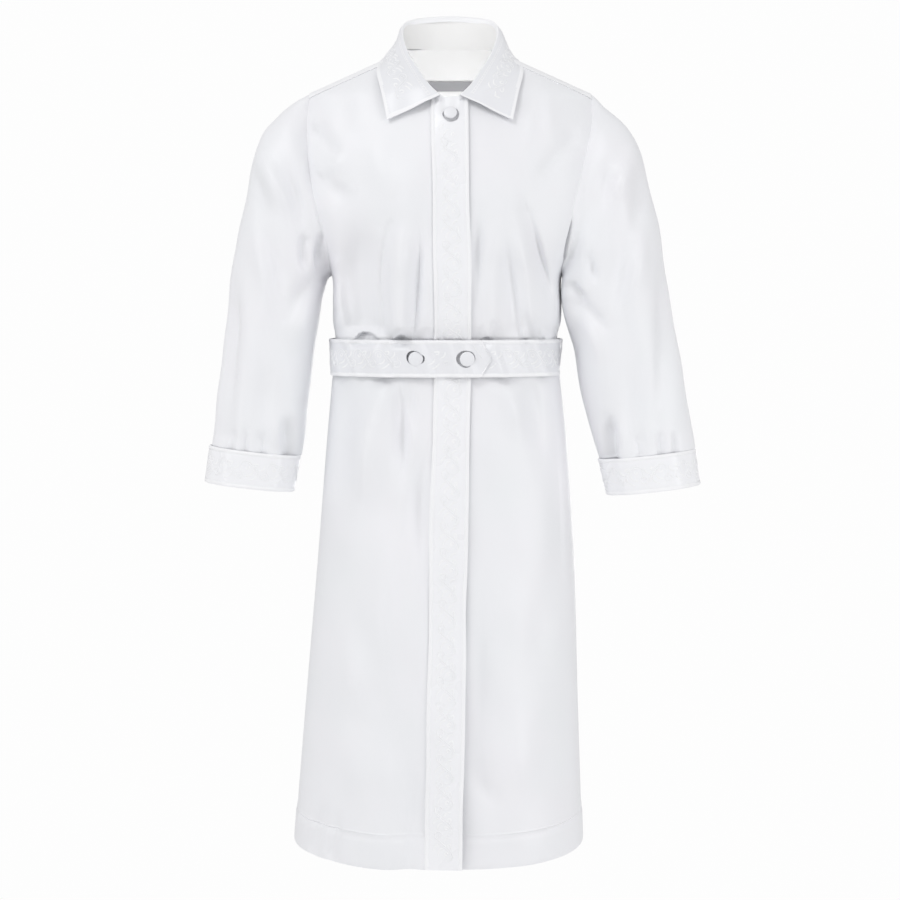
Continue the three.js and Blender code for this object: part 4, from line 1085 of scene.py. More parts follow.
# One S scroll of the ornament, as threads through points: the share of the scroll's length, and
# of half its width. The vine is a pair of threads; the rest are its curl and its leaves.
VINE = ((0.02, 0.22), (0.05, 0.66), (0.20, 0.94), (0.38, 0.80), (0.60, 0.22), (0.82, -0.48),
        (0.96, -0.84), (1.12, -0.78), (1.16, -0.38), (1.04, -0.06), (1.02, 0.22))
VINE_INSIDE = ((0.14, 0.30), (0.15, 0.58), (0.24, 0.74), (0.36, 0.60), (0.54, 0.10),
               (0.76, -0.56), (0.92, -0.98))
CURL = ((1.04, -0.58), (1.07, -0.36), (0.97, -0.24), (0.87, -0.40), (0.93, -0.60), (1.01, -0.50),
        (0.96, -0.40))
LEAVES = (
    ((0.30, 0.50), (0.36, 0.34), (0.33, 0.16), (0.25, 0.22), (0.24, 0.42)),
    ((0.52, -0.05), (0.48, -0.32), (0.37, -0.52), (0.24, -0.60)),
    ((0.70, -0.48), (0.62, -0.72), (0.52, -0.92), (0.42, -1.00)),
    ((0.48, 0.62), (0.58, 0.72), (0.68, 0.66), (0.66, 0.46), (0.56, 0.44)),
    ((0.74, 0.04), (0.86, 0.20), (0.92, 0.44), (0.92, 0.70)),
)
SCROLL = ([{"points": VINE, "width": 1.3}, {"points": VINE_INSIDE, "width": 0.8},
           {"points": CURL, "width": 0.9}] + [{"points": leaf, "width": 2.4} for leaf in LEAVES])


# A thread's edges lie this far over the cloth and its foot this far under them; a thread that is
# narrower than full is lower as well.
THREAD = {"over": 0.05, "foot": 0.1, "full": 0.9}
CURVE_HEIGHT, ROPE_HEIGHT, STITCH_HEIGHT = 0.5, 0.2, 0.22    # how far threads are raised
CURVE_ROWS = 5       # a curve has this many steps between two of its points,
TAPER = 0.35         # and its ends have this share of its width
STITCH_PITCH, STITCH_SHARE = 3.0, 0.62    # a stitch each so far, and how much of that it takes


class Threads:
    """Many raised threads and leaves, gathered into one mesh."""

    def __init__(self, keep_off=()):
        self.points, self.faces = [], []
        self.count = 0
        self.keep_off = keep_off    # middles and radii of places that no thread crosses

    def stroke(self, strip, along, across, width, height):
        """A thread through points on a strip, as wide as width says at each."""
        along, across = np.asarray(along, float), np.asarray(across, float)
        width = np.broadcast_to(np.asarray(width, float), along.shape)
        centre, normal = strip.at(along, across, THREAD["over"])
        if any((np.linalg.norm(centre - middle, axis=1) < radius).any()
               for middle, radius in self.keep_off):
            return
        run = unit(np.gradient(centre, axis=0))
        side = unit(np.cross(run, normal)) * (width / 2)[:, None]
        top = normal * (height * np.minimum(width / THREAD["full"], 1))[:, None]
        rings = np.stack([centre - side, centre + top, centre + side,
                          centre - normal * THREAD["foot"]], axis=1)
        ends = np.array([[3, 2, 1, 0], 4 * len(along) - 4 + np.arange(4)])
        self.points.append(rings.reshape(-1, 3))
        self.faces += [self.count + grid_cells(len(along), 4, True)[2], self.count + ends]
        self.count += 4 * len(along)

    def curve(self, strip, along, across, width):
        """A thread through a few points, rounded off between them and narrower at its ends."""
        points = stack(along, across, 0)[:, None]
        share = np.linspace(0, 1, CURVE_ROWS * (len(points) - 1) + 1)
        line = spline(points, share)[:, 0]
        full = np.sin(np.pi * np.clip(share, 0.02, 0.98)) ** 0.5
        self.stroke(strip, line[:, 0], line[:, 1], width * (TAPER + (1 - TAPER) * full),
                    CURVE_HEIGHT)

    def scrolls(self, strip, start, end, half=14.0, pitch=37.0, shift=0.0):
        """A chain of S scrolls with leaf sprays, between two places along a strip."""
        count = max(round((end - start) / pitch), 1)
        pitch = (end - start) / count
        for i in range(count):
            for line in SCROLL:
                along, across = np.array(line["points"]).T
                along = start + (i + along) * pitch
                inside = (along > start - 1) & (along < end + 1)
                if inside.all():
                    self.curve(strip, along, shift + half * across, line["width"])

    def rope(self, strip, across, start, end, pitch=3.2, slant=1.0, width=0.75, reach=1.5, scale=1):
        """A rope-like row of slanting ticks; scale is the strip's across units in a mm."""
        tick = np.array([-0.5, 0, 0.5]) * reach
        for at in np.arange(start, end, pitch):
            self.stroke(strip, at + tick * slant, across + tick * scale, width, ROPE_HEIGHT)

    def stitches(self, strip, across, start, end, width):
        """A running row of small stitches."""
        stitch = np.array([0, 0.5, 1]) * STITCH_PITCH * STITCH_SHARE
        for at in np.arange(start, end - STITCH_PITCH, STITCH_PITCH):
            self.stroke(strip, at + stitch, np.full(3, across), width, STITCH_HEIGHT)

    def make(self, name, look):
        points = np.concatenate(self.points)
        obj = make_mesh(name, points, np.concatenate(self.faces).tolist(), look,
                        points[:, [0, 2]])
        mark_rims(obj)
        return obj


# The neck button pulls the placket's top end into folds, deepest this far under its end.
PUCKER = {"depth": 1.7, "under": 9.0, "along": 8.0, "across": 20.0, "pitch": 0.42, "shift": 0.9,
          "slant": 0.05}
WRINKLE = {"z": -751.0, "half": 2.2, "depth": 1.1, "slant": 0.1}    # it crosses the placket low
PLACKET_RISE = {"height": 7.0, "wave": 0.7, "pitch": 0.35}    # the top stands up in the collar
PLACKET_ROWS = 240


def placket_band():
    """The placket, and its face with along running from the hem to the neck."""
    x_share = 0.5 - ACROSS / BAND
    x0 = free_edge(np.full(len(ACROSS), LAP_TOP)) - BAND * x_share
    top = neck_xz(np.degrees(np.arcsin(np.clip(x0 / NECK_HALF, -1, 1))))[1]
    top += PLACKET_RISE["height"] + PLACKET_RISE["wave"] * np.sin(ACROSS * PLACKET_RISE["pitch"])
    z = lerp(HEM["front"], top[None, :], np.linspace(0, 1, PLACKET_ROWS)[:, None])
    x = free_edge(z) - BAND * x_share[None, :]
    points, normals = panel_points("front", x, z, PLACKET_LIFT + BAND_CLOTH + edge_lift(x, z))
    under = points[-1:, :, 2] - points[..., 2]
    folds = np.sin(ACROSS * PUCKER["pitch"] + PUCKER["shift"] + PUCKER["slant"] * under)
    pucker = (PUCKER["depth"] * bell(under - PUCKER["under"], PUCKER["along"])
              * folds * bell(ACROSS, PUCKER["across"]))
    crossing = WRINKLE["depth"] * bell(z - WRINKLE["z"] - WRINKLE["slant"] * ACROSS,
                                       WRINKLE["half"])
    points = points + normals * (band_relief(ACROSS) + pucker - crossing)[..., None]
    # The placket takes the lighter satin, whose extra lightness is a painted sheen.
    band = shell("placket", points, normals, BAND_CLOTH, satin_painted_sheen_look, cloth_uvs(x, z),
                 edges=welts(ACROSS))
    return band, Strip(points, normals, ACROSS)


placket, placket_face = placket_band()


# An open buttonhole's edge round its button: how far out it is at each angle, in degrees from
# the wearer's left round by the top, as a share of the button's radius.
NECK_HOLE = table("angle reach", (0, 1.30), (45, 1.16), (90, 0.96), (135, 0.98), (180, 1.18),
                  (225, 1.18), (270, 1.44), (315, 1.42), (360, 1.30))
BELT_HOLE_RIGHT = table("angle reach", (0, 1.20), (18, 1.18), (36, 0.98), (90, 1.04), (120, 1.24),
                        (150, 1.34), (180, 1.22), (215, 1.02), (270, 0.92), (320, 0.98),
                        (342, 1.16), (360, 1.20))
BELT_HOLE_LEFT = table("angle reach", (0, 1.08), (45, 1.12), (90, 1.10), (135, 1.32), (180, 1.48),
                       (225, 1.28), (270, 1.12), (315, 0.96), (360, 1.08))


def button_place(row):
    """A button's row of the table, where it sits on the cloth, and its out, right and up."""
    item = {key: float(values[row]) for key, values in BUTTONS.items()}
    base, normal = cloth_place("front", np.array(item["x"]), np.array(item["z"]))
    right = unit(np.cross(normal, UP))
    return item, base, normal, right, np.cross(right, normal)


HOLE_SIDES = 60


def cut_hole(obj, row, hole, low, high):
    """Cuts an open buttonhole round a button, between two heights over the cloth."""
    item, base, normal, right, up = button_place(row)
    angle = np.arange(HOLE_SIDES) * 360.0 / HOLE_SIDES
    reach = item["radius"] * read(hole, "reach", angle, "angle")
    turn = np.radians(angle)
    ring = ((reach * np.cos(turn))[:, None] * right * np.sign(right[0])
            + (reach * np.sin(turn))[:, None] * up * np.sign(up[2]))
    points = np.concatenate([base + ring + normal * low, base + ring + normal * high])
    lower = list(range(HOLE_SIDES))
    upper = [HOLE_SIDES + i for i in lower]
    faces = grid_cells(2, HOLE_SIDES, True)[2].tolist() + [lower[::-1], upper]
    mesh = bpy.data.meshes.new("hole")
    mesh.from_pydata((points * MM).tolist(), [], faces)
    tool = add_object("hole", mesh)
    cut = obj.modifiers.new("buttonhole", "BOOLEAN")
    cut.operation, cut.solver, cut.object = "DIFFERENCE", "EXACT", tool
    shape = bpy.data.meshes.new_from_object(
        obj.evaluated_get(bpy.context.evaluated_depsgraph_get()))
    obj.modifiers.clear()
    obj.data = shape
    bpy.data.objects.remove(tool)


# Heights over the cloth between which each hole is cut: the neck's goes through the placket and
# the upper front, the belt's through both ends of the belt.
CUT = {"placket": (LAP_LIFT + 0.1, 12.0), "front": (0.6, 12.0), "belt": (UNDER_LIFT - 0.5, 20.0)}
cut_hole(placket, 0, NECK_HOLE, *CUT["placket"])
cut_hole(front_right, 0, NECK_HOLE, *CUT["front"])


BELT_MIDDLE = (BELT["top"] + BELT["bottom"]) / 2
BELT_STEP, BELT_QUARTER = 3.0, 60    # a step over the lap, and columns in a quarter of the round
# The belt comes down from its lift over the lap to its snug lift: from this x, over this distance.
UNDER_SETTLES = {"x": 50.0, "over": 90.0}
OVER_SETTLES = {"x": -80.0, "over": 80.0}
BELT_TAPER = 0.92    # the pointed end narrows by this share of its width,
POINT_COLS = 9       # in this many columns
# The belt's waves lean across it, and stand out by this mean.
BELT_LEAN = 0.35
BELT_WAVES = table("depth turn shift", (2.04, 0.11, 0.5), (1.36, 0.19, 2.2), (0.85, 0.31, 0.6))
BELT_WAVE_MEAN = 2.38


def belt_runs():
    """x, whether it is behind, and lift, along the belt from its under end to its pointed one."""
    z = BELT_MIDDLE
    x0, x1 = float(edge_x("left", z)), float(edge_x("right", z))
    middle = float(middle_x(z))
    out = np.sin(np.linspace(0, np.pi / 2, BELT_QUARTER))
    right, left = middle + (x1 - middle) * out, middle + (x0 - middle) * out
    under = np.concatenate([np.arange(BELT["under"], middle, BELT_STEP), right])
    behind = np.concatenate([right[::-1][1:-1], left[:-1]])
    over = np.concatenate([left[::-1], np.arange(middle, BELT["corner"], BELT_STEP)[1:],
                           np.linspace(BELT["corner"], BELT["point"], POINT_COLS)])
    under_lift = lerp(UNDER_LIFT, BELT_SNUG,
                      soft((under - UNDER_SETTLES["x"]) / UNDER_SETTLES["over"]))
    over_lift = lerp(OVER_LIFT, BELT_SNUG,
                     soft((OVER_SETTLES["x"] - over) / OVER_SETTLES["over"]))
    behind_lift = np.full(len(behind), BELT_SNUG)
    is_behind = np.repeat([False, True, False], [len(under), len(behind), len(over)])
    return (np.concatenate([under, behind, over]), is_behind,
            np.concatenate([under_lift, behind_lift, over_lift]))


def belt_band():
    """The belt, and its face with along running from its under end to its pointed one."""
    run_x, is_behind, run_lift = belt_runs()
    x = np.repeat(run_x[:, None], len(ACROSS), axis=1)
    is_over = (np.arange(len(run_x)) > len(run_x) // 2)[:, None]
    to_point = np.clip((x - BELT["corner"]) / (BELT["point"] - BELT["corner"]), 0, 1) * is_over
    z = BELT_MIDDLE + ACROSS[None, :] * (1 - BELT_TAPER * to_point)
    front, front_out = cloth_place("front", x, z, body_point)
    behind, behind_out = cloth_place("back", x, z, body_point)
    is_behind = is_behind[:, None, None]
    normals = np.where(is_behind, behind_out, front_out)
    normals[..., 2] = 0
    normals = unit(normals)
    lean = x + BELT_LEAN * (z - BELT_MIDDLE)
    wave = waves(BELT_WAVES, lean) + BELT_WAVE_MEAN
    lift = run_lift[:, None] + BAND_CLOTH + band_relief(ACROSS)[None, :] + wave
    points = np.where(is_behind, behind, front) + normals * lift[..., None]
    band = shell("belt", points, normals, BAND_CLOTH, satin_look, cloth_uvs(x, z),
                 edges=welts(ACROSS))
    return band, Strip(points, normals, ACROSS)


belt, belt_face = belt_band()
cut_hole(belt, 1, BELT_HOLE_RIGHT, *CUT["belt"])
cut_hole(belt, 2, BELT_HOLE_LEFT, *CUT["belt"])


CUFF_WAVES = table("depth turn shift", (1.0, 7, 0.8), (0.6, 12, 2.0))    # round the wrist
CUFF_SINK = 0.4      # and the whole cuff lies this far under its rings
CUFF_STEPS = 720     # steps that measure the way round it


def cuff(which):
    """A cuff, and its face with along running round the wrist."""
    rings, sign = SLEEVES[which]["cuff"], SIGN[SLEEVES[which]["side"]]
    fine = np.linspace(0, 2 * np.pi, CUFF_STEPS + 1)
    middle = (ring_points(rings, 0, sign, fine) + ring_points(rings, 1, sign, fine)) / 2
    reach = run_length(middle)
    angle = np.interp(np.linspace(0, reach[-1], CUFF_COLS + 1), reach, fine)
    share = 0.5 - ACROSS / BAND
    top, end = ring_points(rings, 0, sign, angle), ring_points(rings, 1, sign, angle)
    grid = top[:, None] + (end - top)[:, None] * share[None, :, None]
    normals = grid_normals(grid, sign)
    normals[0] = normals[-1] = unit(normals[0] + normals[-1])
    lift = band_relief(ACROSS)[None, :] + waves(CUFF_WAVES, angle)[:, None] - CUFF_SINK
    grid = grid + normals * lift[..., None]
    if np.mean(np.sum(normals * (grid - grid.mean(axis=(0, 1))), axis=-1)) < 0:
        normals = -normals
    face = Strip(grid, normals, ACROSS)
    uvs = stack(np.linspace(0, face.length, CUFF_COLS + 1)[:, None], ACROSS[None, :], 0)[..., :2]
    outer, out = np.swapaxes(grid[:-1], 0, 1), np.swapaxes(normals[:-1], 0, 1)
    look, is_welt = welts(ACROSS)
    # The cuff takes the lighter satin, whose extra lightness is a painted sheen.
    band = shell(f"cuff_{which}", outer, out, BAND_CLOTH, satin_painted_sheen_look,
                 np.swapaxes(uvs[:-1], 0, 1), wraps=True,
                 edges=(look, lambda r, c: is_welt(c, r)))
    return band, face


cuff_right, cuff_right_face = cuff("right")
cuff_left, cuff_left_face = cuff("left")


# ---- collar -----------------------------------------------------------------------------------
COLLAR_STEPS = 12    # columns for each station
STAND_GAP = -0.6     # the stand's foot lies this far under the neck seam in the middle,
# and is raised towards each side: from which x, over what distance, and how far.
STAND_OPEN = {"left": (-34, 14, 1.5), "right": (58, 8, 1.3)}


def collar_stations(first):
    """Roll, edge, angle and bulge, from one front end round the back to the other."""
    last = COLLAR["station"][-1]
    station = first + np.arange(int((last - first) * COLLAR_STEPS) + 1) / COLLAR_STEPS
    get = {name: read(COLLAR, name, station, "station") for name in COLLAR}
    get["roll_x"][-1] = get["edge_x"][-1] = 0
    roll = stack(get["roll_x"], get["roll_y"], get["roll_z"])
    edge = stack(get["edge_x"], get["edge_y"], get["edge_z"])
    angle = np.clip(get["angle"], 0, 180)
    flip = np.array([-1, 1, 1])
    both = [np.concatenate([a[:-1] * flip, a[::-1]]) for a in (roll, edge)]
    return (*both, np.concatenate([-angle[:-1], angle[::-1]]),
            np.concatenate([get["bulge"][:-1], get["bulge"][::-1]]))


def away_from_neck(points, under):
    """The way to points from the neck's middle line, starting this far under them."""
    return points * LEVEL + UP * under


def turned_out(normals, points, under=0.0):
    """Normals turned away from the neck's middle line."""
    wrong = np.sum(normals * away_from_neck(points, under), axis=-1, keepdims=True) < 0
    return np.where(wrong, -normals, normals)


STAND_ROWS = 14
STAND_CLOTH = 50.0   # depth of the stand's cloth
# The stand bulges unevenly, half way up: this deep, in waves this long, turning on the way up.
STAND_WAVE = {"depth": 1.3, "length": 13.0, "shift": 1.1, "turn": 2.2}


def collar_stand():
    """The band from the neck seam up to the collar's roll."""
    roll, _, angle, _ = collar_stations(1)
    foot = neck_point(angle)
    foot[:, 2] += STAND_GAP
    for side, (start, run, rise) in STAND_OPEN.items():
        foot[:, 2] += rise * soft(SIGN[side] * (foot[:, 0] - start) / run)
    t = np.linspace(0, 1, STAND_ROWS)[:, None, None]
    outer = foot[None] + (roll - foot)[None] * t
    wave = np.sin(foot[:, 0] / STAND_WAVE["length"] + STAND_WAVE["shift"]
                  + STAND_WAVE["turn"] * t[..., 0])
    outer = outer + (STAND_WAVE["depth"] * np.sin(np.pi * t) * wave[..., None]
                     * unit(foot * LEVEL))
    normals = turned_out(grid_normals(outer, 1), outer)
    reach = np.cumsum(np.linalg.norm(np.gradient(foot, axis=0), axis=1))
    uvs = stack(reach[None, :], t[:, :, 0] * STAND_CLOTH, 0)[..., :2]
    return shell("collar_stand", outer, normals, CLOTH, inner_look, uvs)


# The leaf's rolled upper edge, on the neck's side: how far in and how far up from the roll.
LIP = ((2.7, -6.5), (2.7, -4.0), (2.5, -1.0), (1.7, 1.0), (0.8, 1.8))
LIP_STEP = 0.02      # the share of the leaf's depth that stands for each of its rows
LEAF_SHARES = np.array([*(-LIP_STEP * k for k in range(len(LIP), 0, -1)),
                        0.0, 0.02, 0.05, 0.09, 0.14, 0.18, 0.2, 0.22, 0.25, 0.3, 0.36, 0.42, 0.5,
                        0.58, 0.66, 0.74, 0.8, 0.85, 0.885, 0.91, 0.935, 0.96, 0.985, 1.0])
LEAF_START = 2.0     # the leaf starts this far over the roll,
LEAF_CROWN = 0.3     # and is fullest at this share of its depth
LEAF_UNDER = 90.0    # its outer side faces away from the neck's middle, this far under it
NECK_MIDDLE = np.array([0, -10, 0])
LEAF_WAVE = {"depth": 1.8, "length": 9.0, "lean": 14.0, "over": 70.0}    # it waves unevenly
LEAF_WELT = 5.0      # width of the leaf's stitched edge, lightened partly as a painted sheen highlight
LEAF_ROLL = {"height": 0.45, "middle": 3.0, "width": 2.0}
LEAF_STITCH = {"depth": 0.5, "middle": 6.0, "width": 1.0}


def leaf_rows():
    """The leaf's rows, from inside the roll to its edge, and their normals."""
    roll, edge, _, bulge = collar_stations(0)
    out = turned_out(unit(np.cross(edge - roll, np.gradient(roll, axis=0))), roll, LEAF_UNDER)
    start = roll + UP * LEAF_START
    crown = roll + (edge - roll) * LEAF_CROWN + out * (2 * bulge)[:, None]
    t = LEAF_SHARES[len(LIP):, None, None]
    outer = bow(start[None], crown[None], edge[None], t)
    inward = unit((NECK_MIDDLE - roll) * LEVEL)
    outer = np.concatenate([[roll + inward * inner + UP * up for inner, up in LIP], outer])
    normals = grid_normals(outer, 1)
    half_down = (len(LIP) + len(outer)) // 2
    sense = np.sum(normals[half_down] * away_from_neck(outer[half_down], LEAF_UNDER), axis=-1)
    return outer, normals * np.sign(sense)[None, :, None]


def collar_leaf():
    """The leaf, its face with along running round its edge, and its mean depth."""
    grid, normals = leaf_rows()
    depth = np.linalg.norm(np.diff(grid, axis=0), axis=-1).sum(axis=0)
    from_edge = (1 - LEAF_SHARES)[:, None] * depth[None, :]
    columns = np.arange(grid.shape[1])
    from_end = np.minimum(columns, columns[::-1])
    relief = (LEAF_ROLL["height"] * bell(from_edge - LEAF_ROLL["middle"], LEAF_ROLL["width"])
              - LEAF_STITCH["depth"] * bell(from_edge - LEAF_STITCH["middle"],
                                            LEAF_STITCH["width"]))
    wave = (np.sin(grid[-1:, :, 0] / LEAF_WAVE["length"] + from_edge / LEAF_WAVE["lean"])
            * np.sin(np.pi * np.clip(from_edge / LEAF_WAVE["over"], 0, 1)))
    grid = grid + normals * (relief + LEAF_WAVE["depth"] * wave)[..., None]

    # The rolled lip, the stitched edge and the ends take the welts' whiter look: partly their own
    # tone, partly a painted sheen highlight.
    def is_bright(r, c):
        return (from_edge[r, c] < LEAF_WELT) | (LEAF_SHARES[r] < LIP_STEP) | (from_end[c] < 2)

    reach = np.cumsum(np.linalg.norm(np.gradient(grid[-1], axis=0), axis=1))
    leaf = shell("collar_leaf", grid, normals, BAND_CLOTH, satin_look,
                 stack(reach[None, :], from_edge, 0)[..., :2], edges=(welt_sheen_look, is_bright))
    face = Strip(np.swapaxes(grid, 0, 1), np.swapaxes(normals, 0, 1), LEAF_SHARES)
    return leaf, face, depth.mean()


collar_leaf_piece, leaf_face, leaf_depth = collar_leaf()
collar_stand_piece = collar_stand()


# ---- embroidery on the bands ------------------------------------------------------------------
HOLE_REACH = 1.7     # no thread comes nearer to a button's middle than this many radii
BANDS_OUT = 8.0      # a band's face by the buttons is about this far out from the cloth


def hole_places():
    """The middle of each open buttonhole, at the bands' height, and how far threads stay off."""
    for x, z, radius in zip(BUTTONS["x"], BUTTONS["z"], BUTTONS["radius"]):
        yield cloth_point("front", x, z) - np.array([0, BANDS_OUT, 0]), HOLE_REACH * radius


EDGE_ROWS = (-21.2, 21.2)    # a stitched row runs along each edge of a band
# The stitched rows follow the belt's pointed end: how far from its end, and from its middle.
CHEVRON = {"from_end": np.array([27, 20, 13]), "across": np.array([21.0, 10.5, 0]), "width": 1.3}


def embroider(name, strip, clear_start, clear_end, pointed=False):
    """Scrolls down the middle of a band and a stitched row along each edge, clear of its ends."""
    threads = Threads(tuple(hole_places()))
    if pointed:
        for side in (-1, 1):
            threads.curve(strip, strip.length - CHEVRON["from_end"], side * CHEVRON["across"],
                          CHEVRON["width"])
    end = strip.length - clear_end
    threads.scrolls(strip, clear_start, end)
    for across in EDGE_ROWS:
        threads.rope(strip, across, clear_start, end, slant=np.sign(across))
    return threads.make(name, thread_look)


placket_scrolls = embroider("placket_scrolls", placket_face, 12, 34)
belt_scrolls = embroider("belt_scrolls", belt_face, 10, 28, pointed=True)
cuff_right_scrolls = embroider("cuff_right_scrolls", cuff_right_face, 4, 4)
cuff_left_scrolls = embroider("cuff_left_scrolls", cuff_left_face, 4, 4)

# Places across the leaf are shares of its depth, from the roll to the edge.
LEAF_SCROLL = {"middle": 0.62, "half": 14, "pitch": 38, "clear_end": 14, "clear_middle": 4}
LADDER = {"rails": (0.185, 0.25), "rail_width": 1.2, "rungs": 0.2175, "clear_end": 8}
LEAF_ROPE = {"from_edge": 3.2, "clear_end": 6}


def embroider_collar():
    """A scroll along the leaf's outer half, a ladder by the roll and a stitched edge."""
    threads = Threads()
    share = 1 / leaf_depth
    end = leaf_face.length
    for start, stop in ((LEAF_SCROLL["clear_end"], end / 2 - LEAF_SCROLL["clear_middle"]),
                        (end / 2 + LEAF_SCROLL["clear_middle"], end - LEAF_SCROLL["clear_end"])):
        threads.scrolls(leaf_face, start, stop, half=LEAF_SCROLL["half"] * share,
                        pitch=LEAF_SCROLL["pitch"], shift=LEAF_SCROLL["middle"])
    ladder = LADDER["clear_end"], end - LADDER["clear_end"]
    for across in LADDER["rails"]:
        threads.stitches(leaf_face, across, *ladder, LADDER["rail_width"])
    threads.rope(leaf_face, LADDER["rungs"], *ladder, pitch=5.5, slant=0.2, width=1.3, reach=3.0,
                 scale=share)
    threads.rope(leaf_face, 1 - LEAF_ROPE["from_edge"] * share, LEAF_ROPE["clear_end"],
                 end - LEAF_ROPE["clear_end"], scale=share)
    return threads.make("collar_scrolls", thread_look)


collar_scrolls = embroider_collar()


# ---- buttons and label ------------------------------------------------------------------------
# A button from its shank to its crown: how far out and up, by its radius and its height.
BUTTON_PROFILE = np.array([(0.02, 0), (0.5, 0), (0.5, 0.3), (0.86, 0.36), (0.97, 0.46), (1, 0.6),
                           (0.97, 0.74), (0.9, 0.84), (0.8, 0.88), (0.6, 0.93), (0.4, 0.97),
                           (0.2, 0.99), (0.02, 1.0)])
BUTTON_SIDES = 48


def button(name, row):
    """A covered button: a domed head with a rolled rim on a short shank."""
    item, base, normal, right, up = button_place(row)
    turns = np.linspace(0, 2 * np.pi, BUTTON_SIDES + 1)[:-1]
    ring = np.cos(turns)[None, :, None] * right + np.sin(turns)[None, :, None] * up
    out, rise = BUTTON_PROFILE.T[..., None, None]
    points = (base + normal * item["lift"] + ring * (out * item["radius"])
              + normal * (rise * item["height"])).reshape(-1, 3)
    foot = list(range(BUTTON_SIDES))
    crown = [len(points) - BUTTON_SIDES + i for i in foot]
    faces = grid_cells(len(BUTTON_PROFILE), BUTTON_SIDES, True)[2].tolist() + [foot[::-1], crown]
    return make_mesh(f"{name}_cloth", points, faces, satin_look, points[:, [0, 2]])


button_names = ("button_neck", "button_belt_a", "button_belt_b")
buttons = [button(name, row) for row, name in enumerate(button_names)]


def neck_label():
    """The bare strip inside the back, a gap behind its cloth."""
    x, z = np.meshgrid(np.linspace(-LABEL["half"], LABEL["half"], LABEL["cols"]),
                       np.linspace(LABEL["bottom"], LABEL["top"], LABEL["rows"]))
    points, normals = panel_points("back", x, z, -CLOTH - LABEL["gap"] + 0 * x)
    return shell("neck_label", points, normals, LABEL["thick"], tape_look, cloth_uvs(x, z))


label = neck_label()

# ---- what each piece stands for ---------------------------------------------------------------
# Each piece, the nodes that it replaces, and its slot.
PIECES = (
    (front_right, ("front_right",), "cloth"),
    (front_left, ("front_left",), "cloth"),
    (back, ("back_skirt_right", "back_skirt_left", "back_bodice_right", "back_bodice_left"),
     "cloth"),
    (placket, ("placket",), "embroidered_band"),
    (sleeve_right, ("sleeve_right",), "cloth"),
    (sleeve_left, ("sleeve_left",), "cloth"),
    (cuff_right, ("cuff_right",), "embroidered_band"),
    (cuff_left, ("cuff_left",), "embroidered_band"),
    (collar_stand_piece, ("collar_stand",), "cloth"),
    (collar_leaf_piece, ("collar_leaf",), "embroidered_band"),
    (belt, ("belt",), "embroidered_band"),
    (label, ("neck_label",), "grey_tape"),
    *((obj, (name,), "covered_button") for obj, name in zip(buttons, button_names)),
)
for obj, nodes, slot in PIECES:
    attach(obj, "root")
    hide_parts(*nodes)
for obj in (placket_scrolls, belt_scrolls, cuff_right_scrolls, cuff_left_scrolls,
            collar_scrolls):
    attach(obj, "root")


# What each piece of cloth was cut to: its width and length in metres, its area in square metres
# where that is less than both make, and the embroidery that goes with it.
SHEETS = (
    (front_right, (0.36, 1.22), 0.34, ()),
    (front_left, (0.36, 1.22), 0.34, ()),
    (back, (0.66, 1.22), 0.62, ()),
    (sleeve_right, (0.46, 0.60), 0.19, ()),
    (sleeve_left, (0.46, 0.60), 0.19, ()),
    (placket, (0.053, 1.115), None, (placket_scrolls,)),
    (cuff_right, (0.38, 0.053), None, (cuff_right_scrolls,)),
    (cuff_left, (0.38, 0.053), None, (cuff_left_scrolls,)),
    (belt, (1.05, 0.053), None, (belt_scrolls,)),
    (collar_stand_piece, (0.29, 0.04), None, ()),
    (collar_leaf_piece, (0.50, 0.10), None, (collar_scrolls,)),
    (label, (0.084, 0.014), None, ()),
)
for obj, cut, area, pieces in SHEETS:
    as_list(pieces)


# ---- light, floor and camera ------------------------------------------------------------------
SKY_LIGHT, SKY_SEEN = 0.640, 0.985    # how bright the studio is as light, and as a backdrop
SKY_SLOPE = (-0.02, 0.0, 0.07)       # its light is brighter up and to the left
FLOOR = {"z": -1.9, "corners": ((-2.5, -2.5), (2.5, -2.5), (2.5, 2.4), (-2.5, 2.4))}
# The camera's place in metres, how many degrees down it looks, and its lens and sensor in mm.
CAMERA = {"place": (0, -3.691, -0.3179), "down": 3.9, "lens": 100, "sensor": 36}
PICTURE = 900        # the picture's width and height


def area_light(name, place, aim, size, power):
    light = bpy.data.lights.new(name, "AREA")
    light.shape, light.size, light.energy = "DISK", size, power
    obj = add_object(name, light)
    obj.location = place
    obj.rotation_euler = (Vector(aim) - Vector(place)).to_track_quat("-Z", "Y").to_euler()


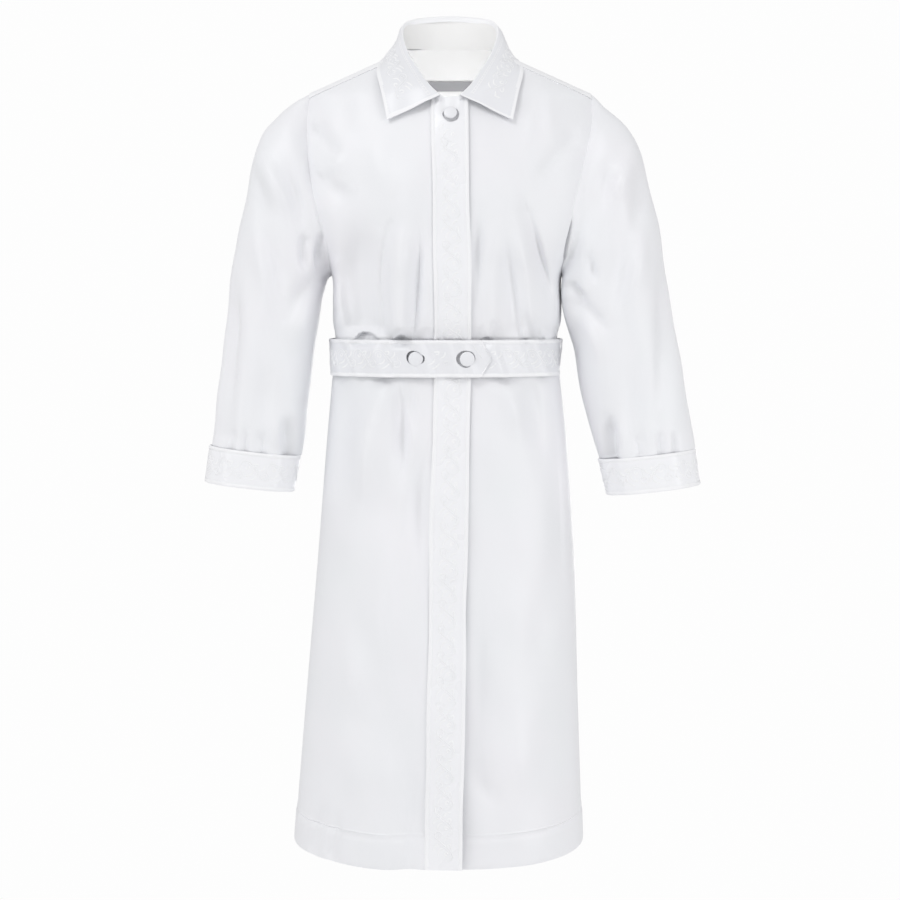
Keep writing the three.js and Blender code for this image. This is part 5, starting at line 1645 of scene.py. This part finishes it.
# Each light's place and the point that it faces, in metres, its width, and its power in watts.
LIGHTS = {
    "key light": ((-1.6, -2.2, 2.3), (0, 0, -0.3), 1.5, 31),
    "fill light": ((2.5, -2.3, 0.3), (0, 0, -0.5), 1.3, 14),
    "side light": ((-2.6, -1.7, 0.0), (0, 0, -0.4), 1.2, 5),
    "low light, right": ((-2.0, -1.3, -1.0), (-0.1, 0, -0.9), 0.9, 4),
    "low light, left": ((2.0, -1.3, -1.0), (0.1, 0, -0.9), 0.9, 7),
    "back light": ((0.7, 2.7, -0.6), (0, 0, -0.6), 1.2, 8),
    "light in the hollow": ((0, -0.035, -0.16), (0, 0.07, 0.0), 0.09, 0.20),
}
for name, row in LIGHTS.items():
    area_light(name, *row)

scene = bpy.context.scene
world = bpy.data.worlds.new("white studio")
scene.world = world
world.use_nodes = True
studio = Nodes(world.node_tree)
sky = studio.tree.nodes["Background"]
sky.inputs["Color"].default_value = (1, 1, 1, 1)
seen = studio.field("ShaderNodeLightPath", output="Is Camera Ray")
toward = studio.field("ShaderNodeTexCoord", output="Generated")
slope = studio.field("ShaderNodeVectorMath", {"operation": "DOT_PRODUCT"},
                     {0: toward, 1: SKY_SLOPE}, output="Value")
studio.feed(sky.inputs["Strength"],
            studio.field("ShaderNodeMix", inputs={0: seen, 2: slope + SKY_LIGHT, 3: SKY_SEEN}))

floor_mesh = bpy.data.meshes.new("floor")
floor_mesh.from_pydata([(x, y, FLOOR["z"]) for x, y in FLOOR["corners"]], [], [(0, 1, 2, 3)])
floor_look = Look("pale floor", Roughness=0.9, Base_Color=(0.8, 0.8, 0.8, 1))
floor_mesh.materials.append(floor_look.material)
add_object("floor", floor_mesh)

camera = bpy.data.cameras.new("camera")
camera.lens, camera.sensor_width = CAMERA["lens"], CAMERA["sensor"]
camera_object = add_object("camera", camera)
camera_object.location = CAMERA["place"]
camera_object.rotation_euler = (math.radians(90 - CAMERA["down"]), 0, 0)
scene.camera = camera_object
scene.render.resolution_x = scene.render.resolution_y = PICTURE
scene.view_settings.view_transform = "Standard"
